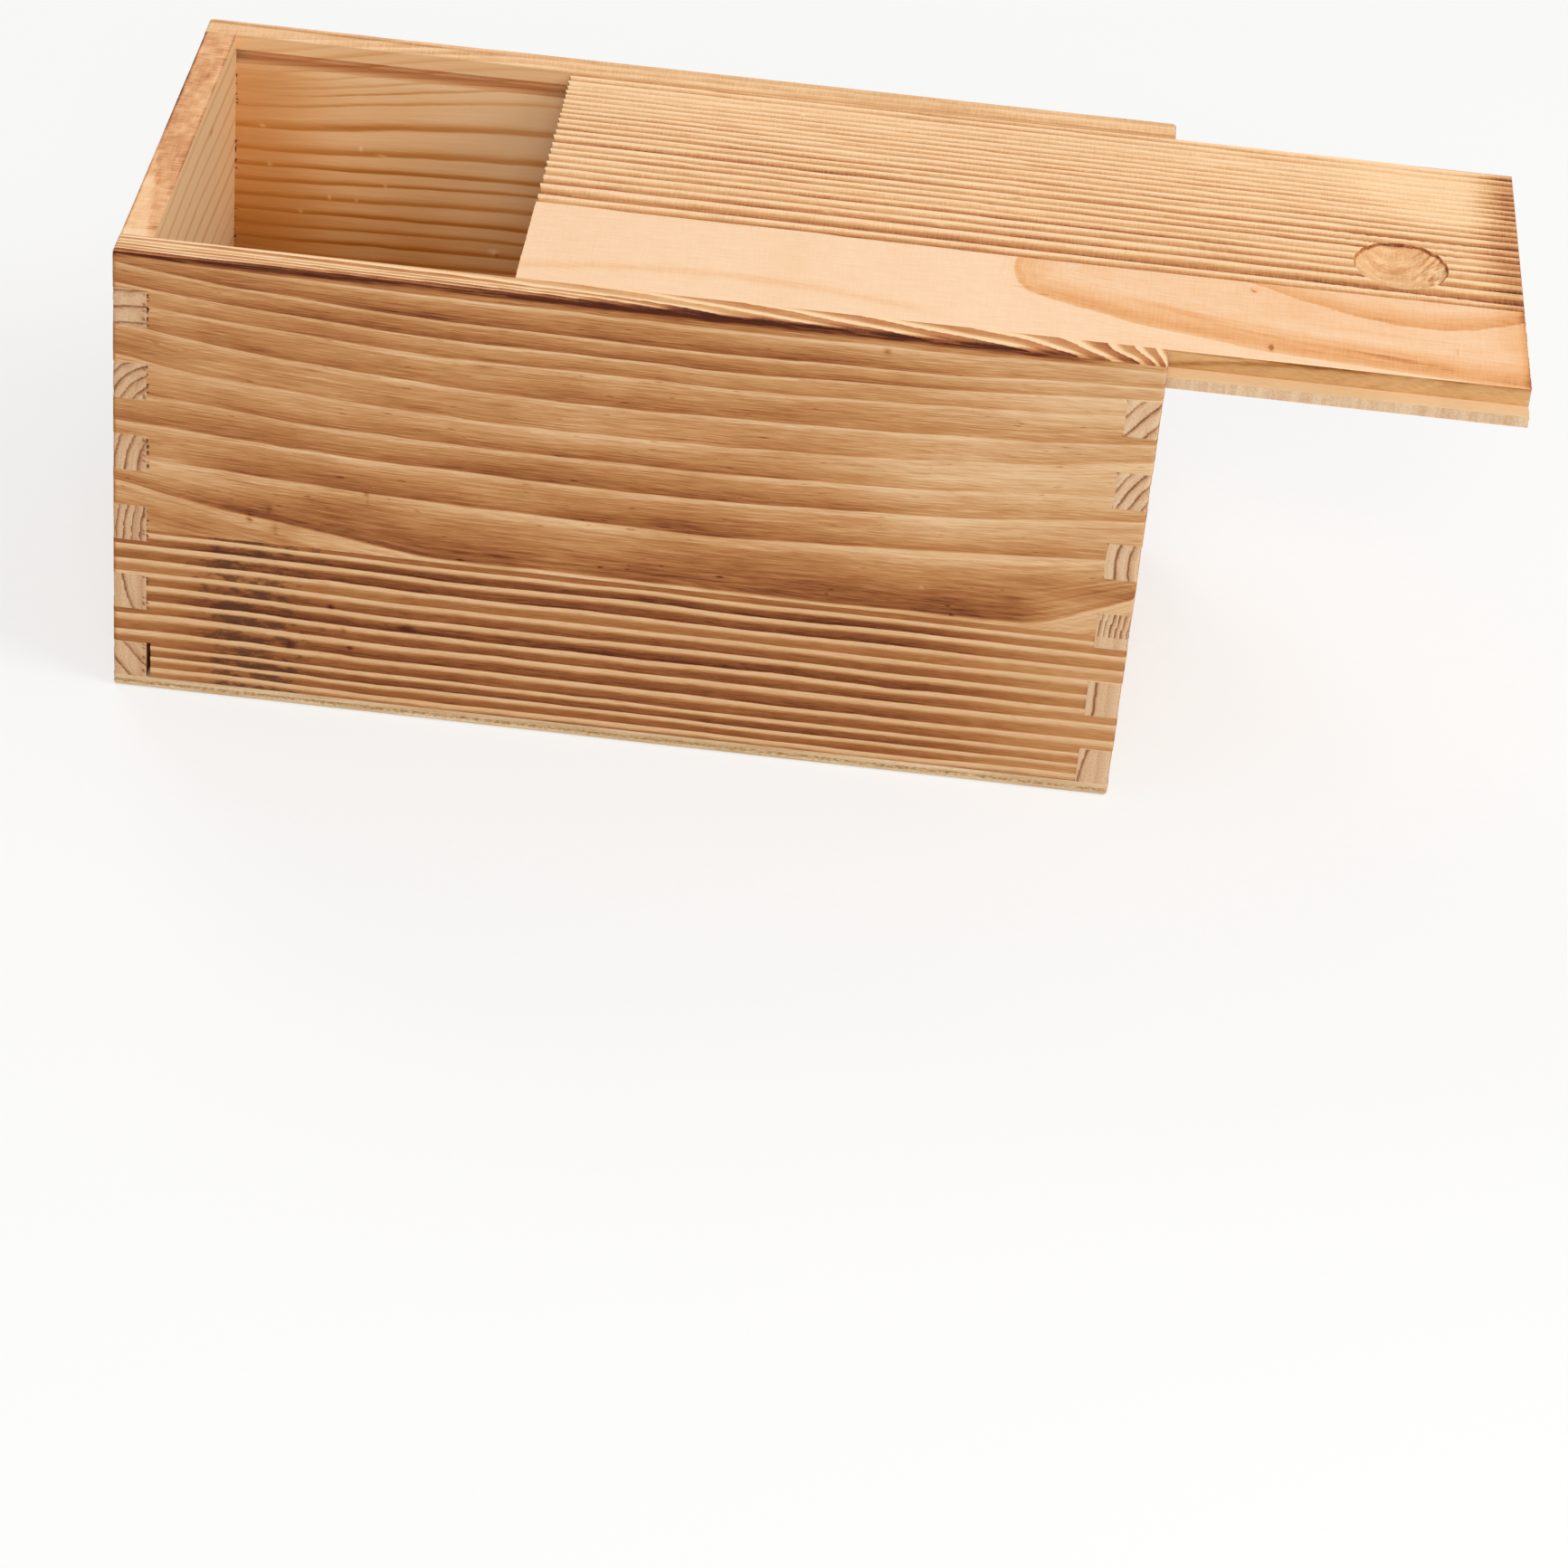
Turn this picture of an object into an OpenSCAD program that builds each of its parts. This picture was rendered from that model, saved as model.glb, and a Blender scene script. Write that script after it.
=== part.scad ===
// Finger-jointed pine box with a sliding lid.
// Two long walls and two end walls lock together with square fingers, a thin
// plywood panel closes the underside, and a stepped lid slides in a groove in
// the long walls and out over the lower right end wall. The origin is the
// centre of the underside, +X runs the way the lid slides out, and +Y points
// to the back wall.

/* [Box] */
// Outside length of the box
box_l = 300; // [240:5:400]
// Outside depth of the box, front to back
box_w = 152; // [120:2:220]
// Thickness of the four walls
wall_t = 10; // [8:0.5:14]
// Thickness of the plywood panel under the walls
base_t = 4; // [3:0.5:8]

/* [Finger joints] */
// Height of one finger
finger_h = 12; // [10:0.5:15]
// Fingers of each end wall in each corner
finger_pairs = 6; // [5:1:8]
// How far the left sockets were cut past the end wall's inner face
left_socket_over = 0.8; // [0:0.1:1.5]
// How far the right sockets were cut past the end wall's inner face
right_socket_over = 0.2; // [0:0.1:1.5]

/* [Glued boards] */
// Width of the lower board in the front and right walls
lower_board_w = 52; // [30:2:80]
// Width of the lid's front board, seen from above
lid_front_w = 45; // [25:1:70]

/* [Groove and lid] */
// Height of the lip above the groove
lip_h = 4.8; // [4:0.2:9]
// Height of the groove
groove_h = 4.6; // [3:0.2:7]
// Depth of the groove in the wall
groove_depth = 6.4; // [4:0.2:7]
// How far the lid is drawn out
lid_open = 103; // [0:1:180]

/* [Finger scoop] */
// Diameter of the scoop at the lid's face
scoop_d = 28; // [20:1:40]
// Depth of the scoop at its middle
scoop_depth = 3.4; // [2:0.2:5]
// Height of the steep rim round the scoop
scoop_rim = 0.6; // [0.2:0.1:1.5]
// From the lid's outer end to the middle of the scoop
scoop_inset = 35.5; // [25:0.5:70]

/* [Clearances] */
// Between the lid's sides and the lips
side_clear = 0.3; // [0.1:0.1:1]
// Between the tongue's tip and the bottom of the groove
tip_clear = 0.6; // [0.2:0.1:1.5]
// Between the tongue and the groove's floor
under_clear = 0.2; // [0.1:0.05:0.5]
// Between the tongue and the lip above it
over_clear = 1; // [0.1:0.05:1.5]
// How far the lid's face lies below the wall tops
face_drop = 0.2; // [0:0.1:1]
// Between the closed lid and the left end wall
end_clear = 0.5; // [0.2:0.1:2]
// How far the right end wall stops below the groove's floor
end_wall_drop = 0.3; // [0:0.1:2]

/* [Hidden] */
$fn = 96;
eps = 1; // how far a cut runs past the face it opens in

wall_h = 2 * finger_pairs * finger_h;
top_z = base_t + wall_h;
seam_z = base_t + lower_board_w;
groove_z = top_z - lip_h - groove_h;
right_top_z = groove_z - end_wall_drop;

lid_l = box_l - wall_t - end_clear;
lid_w = box_w - 2 * wall_t - 2 * side_clear;
lid_z = groove_z + under_clear;
lid_t = top_z - face_drop - lid_z;
tongue_t = groove_h - under_clear - over_clear;
tongue_w = groove_depth + side_clear - tip_clear;
lid_x = -box_l / 2 + wall_t + end_clear + lid_open;
lid_seam_y = -lid_w / 2 + lid_front_w;
scoop_x = lid_x + lid_l - scoop_inset;

// A spherical cap of the scoop's diameter, as deep as the scoop under its rim
cap_h = scoop_depth - scoop_rim;
cap_r = (pow(scoop_d / 2, 2) + pow(cap_h, 2)) / (2 * cap_h);

// A block from its lowest corner to its highest one
module block(low, high) {
  translate(low) cube(high - low);
}

// Lowest height of the end walls' finger number i, counted from the top
function finger_z(i) = top_z - (2 * i + 2) * finger_h;

// A long wall whose outer face looks to -Y: side is 1 for the front wall and
// -1 for the back one. It holds the sockets for the end walls and the groove.
module long_wall(side) {
  mirror([0, side < 0 ? 1 : 0, 0])
    difference() {
      block([-box_l / 2, -box_w / 2, base_t], [box_l / 2, -box_w / 2 + wall_t, top_z]);
      for (i = [0 : finger_pairs - 1]) {
        socket(-box_l / 2 - eps, -box_l / 2 + wall_t + left_socket_over, finger_z(i));
        socket(box_l / 2 - wall_t - right_socket_over, box_l / 2 + eps, finger_z(i));
      }
      block([-box_l / 2 - eps, -box_w / 2 + wall_t - groove_depth, groove_z],
            [box_l / 2 + eps, -box_w / 2 + wall_t + eps, groove_z + groove_h]);
    }
}

// One socket, cut right through a long wall. The lowest one opens downwards.
module socket(x0, x1, z0) {
  below = z0 <= base_t + eps / 2 ? eps : 0;
  block([x0, -box_w / 2 - eps, z0 - below], [x1, -box_w / 2 + wall_t + eps, z0 + finger_h]);
}

// An end wall between x0 and x0 + wall_t, whose fingers run out to both faces
module end_wall(x0, wall_top) {
  inner_y = box_w / 2 - wall_t;
  block([x0, -inner_y, base_t], [x0 + wall_t, inner_y, wall_top]);
  for (i = [0 : finger_pairs - 1])
    block([x0, -box_w / 2, finger_z(i)], [x0 + wall_t, box_w / 2, finger_z(i) + finger_h]);
}

// Keeps what lies between two heights: one of the boards a wall is glued from
module between_heights(z0, z1) {
  intersection() {
    children();
    block([-box_l, -box_w, z0], [box_l, box_w, z1]);
  }
}

// The whole lid: a plate between the lips on a wider, thinner tongue
module lid() {
  difference() {
    union() {
      block([lid_x, -lid_w / 2, lid_z], [lid_x + lid_l, lid_w / 2, lid_z + lid_t]);
      block([lid_x, -lid_w / 2 - tongue_w, lid_z],
            [lid_x + lid_l, lid_w / 2 + tongue_w, lid_z + tongue_t]);
    }
    scoop();
  }
}

// The round finger scoop: a low steep rim over a shallow spherical bowl
module scoop() {
  face_z = lid_z + lid_t;
  translate([scoop_x, 0, face_z - scoop_rim]) {
    cylinder(d = scoop_d, h = scoop_rim + eps);
    intersection() {
      translate([0, 0, cap_r - cap_h]) sphere(r = cap_r);
      translate([0, 0, -cap_h - eps]) cylinder(d = scoop_d, h = cap_h + eps + scoop_rim);
    }
  }
}

// Keeps what lies between two depths: one of the boards the lid is glued from
module between_depths(y0, y1) {
  intersection() {
    children();
    block([lid_x - eps, y0, 0], [lid_x + lid_l + eps, y1, top_z + eps]);
  }
}

module front_upper_board() {
  color("#B98450") between_heights(seam_z, top_z + eps) long_wall(1);
}

module front_lower_board() {
  color("#AE7A48") between_heights(0, seam_z) long_wall(1);
}

module back_wall() {
  color("#C08C58") long_wall(-1);
}

module left_end_wall() {
  color("#B87A50") end_wall(-box_l / 2, top_z);
}

module right_end_upper_board() {
  color("#C4935F")
    between_heights(seam_z, top_z + eps) end_wall(box_l / 2 - wall_t, right_top_z);
}

module right_end_lower_board() {
  color("#CDA878") between_heights(0, seam_z) end_wall(box_l / 2 - wall_t, right_top_z);
}

module bottom_panel() {
  color("#C9A877") block([-box_l / 2, -box_w / 2, 0], [box_l / 2, box_w / 2, base_t]);
}

module lid_rear_board() {
  color("#E6B684") between_depths(lid_seam_y, box_w) lid();
}

module lid_front_board() {
  color("#F6CB9C") between_depths(-box_w, lid_seam_y) lid();
}

front_upper_board();
front_lower_board();
back_wall();
left_end_wall();
right_end_upper_board();
right_end_lower_board();
bottom_panel();
lid_rear_board();
lid_front_board();
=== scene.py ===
# A finger-jointed pine box with scorched faces, a plywood bottom and a sliding lid.
# All shaping is done in millimetres, and turned to metres when a mesh is made.
import math
import bpy
import numpy as np
from mathutils import Matrix, Vector


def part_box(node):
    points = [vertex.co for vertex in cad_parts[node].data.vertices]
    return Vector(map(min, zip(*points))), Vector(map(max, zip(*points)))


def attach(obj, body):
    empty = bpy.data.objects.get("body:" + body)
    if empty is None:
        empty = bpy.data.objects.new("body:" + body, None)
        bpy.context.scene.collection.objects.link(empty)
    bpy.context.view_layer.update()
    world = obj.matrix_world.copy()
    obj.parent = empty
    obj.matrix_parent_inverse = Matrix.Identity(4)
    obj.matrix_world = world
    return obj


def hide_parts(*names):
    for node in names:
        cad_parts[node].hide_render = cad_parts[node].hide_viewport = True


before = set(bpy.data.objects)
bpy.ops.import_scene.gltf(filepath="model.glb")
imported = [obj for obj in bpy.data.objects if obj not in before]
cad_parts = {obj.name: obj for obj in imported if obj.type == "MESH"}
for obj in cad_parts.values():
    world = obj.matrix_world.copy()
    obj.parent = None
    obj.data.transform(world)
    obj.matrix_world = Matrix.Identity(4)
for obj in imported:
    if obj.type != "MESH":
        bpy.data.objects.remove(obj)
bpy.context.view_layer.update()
print("frame loaded")

millimetre = 0.001


def corners(node):
    # lowest and highest corner of a CAD node, in mm
    low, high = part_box(node)
    return np.array(low) / millimetre, np.array(high) / millimetre


def ease(t):
    # 0 below 0, 1 above 1, and 3t^2 - 2t^3 between
    t = np.clip(t, 0, 1)
    return t * t * (3 - 2 * t)


def bump(t):
    # a bell: 1 at 0, about 0.02 at 2
    return np.exp(-t * t)


def softNoise(u, v, seed):
    # random numbers on a unit lattice, blended with ease() between lattice points: -1 to 1
    period = 67     # units after which the pattern repeats
    lattice = np.random.default_rng(seed).random((period, period)) * 2 - 1
    u, v = np.broadcast_arrays(np.asarray(u, float), np.asarray(v, float))
    i, j = np.floor(u).astype(int), np.floor(v).astype(int)
    a, b = ease(u - i), ease(v - j)
    i0, j0, i1, j1 = i % period, j % period, (i + 1) % period, (j + 1) % period
    low = lattice[i0, j0] * (1 - a) + lattice[i1, j0] * a
    high = lattice[i0, j1] * (1 - a) + lattice[i1, j1] * a
    return low * (1 - b) + high * b


def gridLines(knots, step):
    # keeps the knots, and splits each gap between them evenly into steps no longer than step
    knots = np.unique(np.round(knots, 3))
    gaps = zip(knots[:-1], knots[1:])
    parts = [np.linspace(a, b, int(np.ceil((b - a) / step - 0.001)) + 1)[:-1] for a, b in gaps]
    return np.append(np.concatenate(parts), knots[-1])


def spotKnots(spots):
    # grid lines close enough round each spot for the mesh to hold it
    return [spot[0] + spot[2] * k for spot in spots for k in (-1.8, -0.9, 0, 0.9, 1.8)]


def spotTone(spots, u, v):
    # the sum of bells: each spot has its middle, its two half widths and its strength
    total = np.zeros(u.shape)
    for atU, atV, wideU, wideV, strength in spots:
        total += strength * bump(np.hypot((u - atU) / wideU, (v - atV) / wideV))
    return total


def ringsAlong(across, lines):
    # ring number from growth lines at fixed places: it grows by one from line to line
    return np.interp(across, lines, np.arange(len(lines)))


def ringsBetween(across, lines):
    # ring number where each line has its own place at every point, highest line first
    total = 0
    for upper, lower in zip(lines[:-1], lines[1:]):
        total = total + np.clip((upper - across) / (upper - lower), 0, 1)
    return total


# How dark one growth ring is, from its own edge (0) to the next one's (1). Brushed faces have a
# sharp pale edge that fades into brown, raw and sawn ones a thin dark line before the next ring.
# The lid's flame figure is darkest at its own edge and fades inwards.
ringShapes = {
    "flame": [
        (0, 0), (0.1, 0.1), (0.2, 0.42), (0.5, 0.6), (0.85, 0.92), (0.96, 1), (0.995, 0.1), (1, 0)],
    "ridge": [
        (0, 0), (0.22, 0.05), (0.38, 0.55), (0.5, 0.82), (0.85, 0.92), (0.95, 1), (0.99, 0.1), (1, 0)],
    "soft": [
        (0, 0), (0.24, 0.02), (0.42, 0.5), (0.62, 0.82), (0.85, 1), (0.94, 0.95), (0.985, 0.05), (1, 0)],
    "line": [(0, 0.25), (0.04, 0), (0.5, 0.04), (0.68, 0.3), (0.84, 0.95), (0.95, 1), (1, 0.25)],
    "end": [(0, 0.1), (0.06, 0), (0.5, 0.08), (0.72, 0.45), (0.86, 1), (0.95, 0.85), (1, 0.1)],
    "figure": [
        (0, 0.75), (0.08, 0.9), (0.25, 0.68), (0.45, 0.38), (0.65, 0.1), (0.985, 0.1), (1, 0.75)],
}


def ringHeight(ring, shape):
    # 1 on the proud pale edge of a ring and 0 in its burnt-out part
    places, values = zip(*ringShapes[shape])
    return 1 - np.interp(ring - np.floor(ring), places, values)


def boardSkin(xs, ys, zs, filled):
    # The board is a block of cells. Its skin is every cell wall between a filled and an empty
    # cell. Returns the points, the quads, and for each quad its side: 1, 2, 3 for a face that
    # looks along +x, +y, +z, and -1, -2, -3 for the opposite ones.
    lines = (xs, ys, zs)
    middles = [(line[1:] + line[:-1]) / 2 for line in lines]
    solid = np.pad(filled(*np.meshgrid(*middles, indexing="ij")), 1).astype(int)
    corner = np.arange(len(xs) * len(ys) * len(zs)).reshape(len(xs), len(ys), len(zs))
    quads, sides = [], []
    for axis in range(3):
        order = (axis, (axis + 1) % 3, (axis + 2) % 3)
        step = np.diff(solid.transpose(order), axis=0)[:, 1:-1, 1:-1]
        at = corner.transpose(order)
        for side in (-1, 1):
            i, j, k = np.nonzero(step == -side)
            quad = np.stack([at[i, j, k], at[i, j + 1, k], at[i, j + 1, k + 1], at[i, j, k + 1]], 1)
            quads.append(quad[:, ::side])
            sides.append(np.full(len(quad), side * (axis + 1)))
    used, quads = np.unique(np.concatenate(quads), return_inverse=True)
    i, j, k = np.unravel_index(used, corner.shape)
    points = np.stack([xs[i], ys[j], zs[k]], 1)
    return points, quads.reshape(-1, 4), np.concatenate(sides)


def level(value, x, y, z):
    # a number, or a function of the place
    return value(x, y, z) if callable(value) else np.full(x.shape, float(value))


def roundCorners(points, low, high, radius):
    # Within radius of an edge of the box from low to high, a point at the distances d from
    # the inset box moves to d * (largest of d) / (length of d), which makes the edge round.
    inset = np.clip(points, low + radius, high - radius)
    d = points - inset
    length = np.linalg.norm(d, axis=1, keepdims=True)
    return inset + d * np.abs(d).max(1, keepdims=True) / np.maximum(length, 1e-9)


channels = ("ring", "pale", "burnt", "soot")
flatPlace = {1: (1, 2), 2: (0, 2), 3: (0, 1)}      # the two directions that lie in a face
sharpAngle = math.radians(48)                      # an edge that turns more than this stays crisp
touching = 0.01                                    # a point this near a face, in mm, lies on it


def makeBoard(piece, lines, filled, skins, shape=None, warp=None):
    # Cuts the board out of its cells, gives each kind of face its grain and material, sinks
    # the soft part of the rings into it, and lays the result over the CAD node.
    points, quads, sides = boardSkin(*lines, filled)
    if warp:
        points = warp(points)
    place = points[quads]
    middle = place.mean(1)
    kinds = np.zeros(len(quads), int)
    values = {channel: np.zeros(quads.shape) for channel in channels}
    sunk = np.zeros(points.shape)
    names = []
    for skin in skins:
        chosen = np.isin(sides, skin["sides"])
        if "where" in skin:
            chosen &= skin["where"](*middle.T)
        if skin["material"] not in names:
            names.append(skin["material"])
        kinds[chosen] = names.index(skin["material"])
        x, y, z = np.moveaxis(place[chosen], 2, 0)
        for channel in channels:
            values[channel][chosen] = level(skin.get(channel, 0), x, y, z)
        if "spots" in skin:
            u, v = flatPlace[abs(skin["sides"][0])]
            spots = spotTone(skin["spots"], place[chosen][..., u], place[chosen][..., v])
            values["pale"][chosen] += spots
            values["burnt"][chosen] += spots
        if "depth" in skin:
            for side in skin["sides"]:
                ids = np.unique(quads[chosen & (sides == side)])
                x, y, z = points[ids].T
                low = 1 - ringHeight(skin["ring"](x, y, z), woods[skin["material"]]["shape"])
                depth = low * level(skin["depth"], x, y, z)
                sunk[ids, abs(side) - 1] -= np.sign(side) * depth
    points = points + sunk
    if shape:
        points = shape(points)

    mesh = bpy.data.meshes.new(piece["name"])
    mesh.vertices.add(len(points))
    mesh.vertices.foreach_set("co", (points * millimetre).astype(np.float32).ravel())
    mesh.loops.add(quads.size)
    mesh.loops.foreach_set("vertex_index", quads.astype(np.int32).ravel())
    mesh.polygons.add(len(quads))
    mesh.polygons.foreach_set("loop_start", np.arange(0, quads.size, 4, dtype=np.int32))
    mesh.polygons.foreach_set("material_index", kinds.astype(np.int32))
    mesh.polygons.foreach_set("use_smooth", np.ones(len(quads), bool))
    mesh.update(calc_edges=True)
    mesh.set_sharp_from_angle(angle=sharpAngle)
    for channel in channels:
        attribute = mesh.attributes.new(channel, "FLOAT", "CORNER")
        attribute.data.foreach_set("value", values[channel].astype(np.float32).ravel())
    for name in names:
        mesh.materials.append(materials[name])
    board = bpy.data.objects.new(piece["name"], mesh)
    bpy.context.scene.collection.objects.link(board)
    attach(board, piece["body"])
    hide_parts(piece["node"])
    print(piece["name"], len(quads), "quads")


def linear(hexColour):
    # sRGB hex to the linear values that the shaders want
    parts = [int(hexColour[i:i + 2], 16) / 255 for i in (1, 3, 5)]
    return [p / 12.92 if p <= 0.04045 else ((p + 0.055) / 1.055) ** 2.4 for p in parts] + [1]


def addNode(tree, kind, inputs=None, stops=(), **settings):
    # One node with its settings and links. An input is a value, a socket, or a node whose first
    # output feeds it. Stops are a ramp's places, each with a hex colour or a number for grey.
    made = tree.nodes.new("ShaderNode" + kind)
    for key, value in settings.items():
        setattr(made, key, value)
    for key, value in (inputs or {}).items():
        if isinstance(value, bpy.types.Node):
            value = next(output for output in value.outputs if output.enabled)
        if isinstance(value, bpy.types.NodeSocket):
            tree.links.new(value, made.inputs[key])
        else:
            made.inputs[key].default_value = value
    for index, (at, colour) in enumerate(stops):
        elements = made.color_ramp.elements
        element = elements[index] if index < 2 else elements.new(at)
        element.position = at
        element.color = linear(colour) if isinstance(colour, str) else [colour] * 3 + [1]
    return made


def straightGrain(tree, place, axis, length, width):
    # places scaled so that one unit is length mm along the grain and width mm across it
    scale = [1 / (width * millimetre)] * 3
    scale["XYZ".index(axis)] = 1 / (length * millimetre)
    return addNode(tree, "Mapping", {"Vector": place, "Scale": scale})


def ringGrain(tree, place, ring, axis, length, perRing):
    # one unit is length mm along the board, and one of perRing equal parts of a ring across it
    along = addNode(tree, "SeparateXYZ", {0: place}).outputs["XYZ".index(axis)]
    along = addNode(tree, "Math", {0: along, 1: 1 / (length * millimetre)}, operation="MULTIPLY")
    across = addNode(tree, "Math", {0: ring, 1: perRing}, operation="MULTIPLY")
    return addNode(tree, "CombineXYZ", {0: along, 1: across})


def nudge(tree, value, layer, amount):
    # value + amount * (layer - 0.5), because a noise lies evenly round 0.5
    centred = addNode(tree, "Math", {0: layer, 1: 0.5}, operation="SUBTRACT")
    return addNode(tree, "Math", {0: centred, 1: amount, 2: value}, operation="MULTIPLY_ADD")


# palest wood first and charred wood last
scorchedColours = [
    (0, "#E2BE94"), (0.12, "#D9B083"), (0.25, "#CFA071"), (0.4, "#C08A58"), (0.55, "#B07848"),
    (0.7, "#9C6136"), (0.82, "#87502C"), (0.92, "#6D3A22"), (1, "#502415")]
toastedColours = [
    (0, "#FEDAAE"), (0.15, "#F9CD9D"), (0.3, "#ECBB88"), (0.4, "#E0AC78"), (0.5, "#D49C67"),
    (0.6, "#C88856"), (0.7, "#B87547"), (0.85, "#83482A"), (1, "#451E12")]
rawColours = [(0, "#FCD4A3"), (0.25, "#F1BF86"), (0.5, "#DDA163"), (0.75, "#CC8743"), (1, "#AC671F")]

# Marks that every wood shares, as a length along the grain and a width across it in mm. A
# speck's second number says how many of its widths fit in a ring.
marks = dict(wave=(38, 5), hatch=(6, 0.5), fleck=(4.5, 2), speck=(4.5, 13))

# A streak or a patch has its length in mm, how many of its widths fit in a ring, and its
# strength. A fibre has its length and its width in mm, and its strength. wander and fuzz say how
# far the lines stray, in rings: the first slowly and the second finely.
woods = {
    # Torched and wire-brushed pine: the brush takes the char off the hard pale ridges and
    # leaves the soft wood between them brown. Matt, streaked along the rings.
    "scorchedPine": dict(
        shape="flame", axis="X", roughness=(0.6, 0.8), colours=scorchedColours,
        streak=(26, 19, 0.75), fibre=(8, 0.38, 0.62), patch=(55, 0.8, 0.5), speck=0.24,
        wander=0.1, fuzz=0.08),
    # The same treatment on quarter-sawn pine, whose straight rings stand out as ribs.
    "ridgedPine": dict(
        shape="ridge", axis="X", roughness=(0.6, 0.8), colours=scorchedColours,
        streak=(22, 8, 0.3), fibre=(5, 0.4, 0.4), patch=(45, 1.1, 0.2), speck=0.2,
        wander=0.08, fuzz=0.08, sooty="#4A2E23"),
    # The same treatment, lighter: only toasted, so the ridges stay a warm cream.
    "toastedPine": dict(
        shape="soft", axis="X", roughness=(0.55, 0.7), colours=toastedColours,
        streak=(20, 5, 0.35), fibre=(7, 0.5, 0.3), patch=(50, 1.0, 0.3), hatch=0.25,
        wander=0.14, fuzz=0.12),
    # The lid's plain board: flat-sawn sapwood with a soft orange flame figure.
    "flamePine": dict(
        shape="figure", axis="X", roughness=(0.55, 0.65),
        colours=[
            (0, "#FEDCB8"), (0.25, "#FACFA5"), (0.5, "#F3BC88"), (0.75, "#E8A56A"), (1, "#B4703F")],
        streak=(45, 22, 0.32), fibre=(9, 0.7, 0.5), patch=(60, 3, 0.25), hatch=0.2,
        wander=0.04, fuzz=0.03),
    # Planed pine that was never burnt: honey coloured, with thin orange-brown latewood lines.
    "rawPine": dict(
        shape="line", axis="X", roughness=(0.6, 0.7), colours=rawColours,
        streak=(45, 9, 0.25), fibre=(14, 0.45, 0.2), patch=(60, 1.2, 0.25),
        wander=0.14, fuzz=0.1),
    # Sawn end grain: greyer and duller than the faces, with the rings as thin dark arcs.
    "endGrain": dict(
        shape="end", axis="X", roughness=(0.8, 0.85),
        colours=[(0, "#E0C3A2"), (0.25, "#CFA983"), (0.5, "#B98C66"), (0.8, "#8E6144"), (1, "#64402C")],
        streak=(2, 4, 0.45), fibre=(0.5, 0.5, 0.7), patch=(4, 0.8, 0.5),
        wander=0.03, fuzz=0.07),
    # The lid's long edges: sawn with the grain and left rough, so they look dusty and tan.
    "sawnPine": dict(
        shape="line", axis="X", roughness=(0.75, 0.8),
        colours=[(0, "#F0CB9C"), (0.3, "#DBB07C"), (0.5, "#C99A66"), (0.75, "#AC7440"), (1, "#7E4C25")],
        streak=(30, 6, 0.3), fibre=(3, 0.4, 0.45), patch=(40, 1.2, 0.25),
        wander=0.1, fuzz=0.1),
}
# the front wall's top stands out in ribs, like its lower board
woods["toastedRibs"] = dict(woods["toastedPine"], shape="ridge", hatch=0.1, wander=0.06)
# the end walls' grain runs from front to back
woods["scorchedPineAcross"] = dict(woods["scorchedPine"], axis="Y")
woods["rawPineAcross"] = dict(woods["rawPine"], axis="Y")
woods["toastedPineAcross"] = dict(
    woods["toastedPine"], axis="Y", hatch=0.5,
    colours=[(0, "#FFDAAE"), (0.3, "#F5BE8B"), (0.5, "#DE9F6C"), (0.7, "#BC7A4E"), (1, "#4A2415")])


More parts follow.
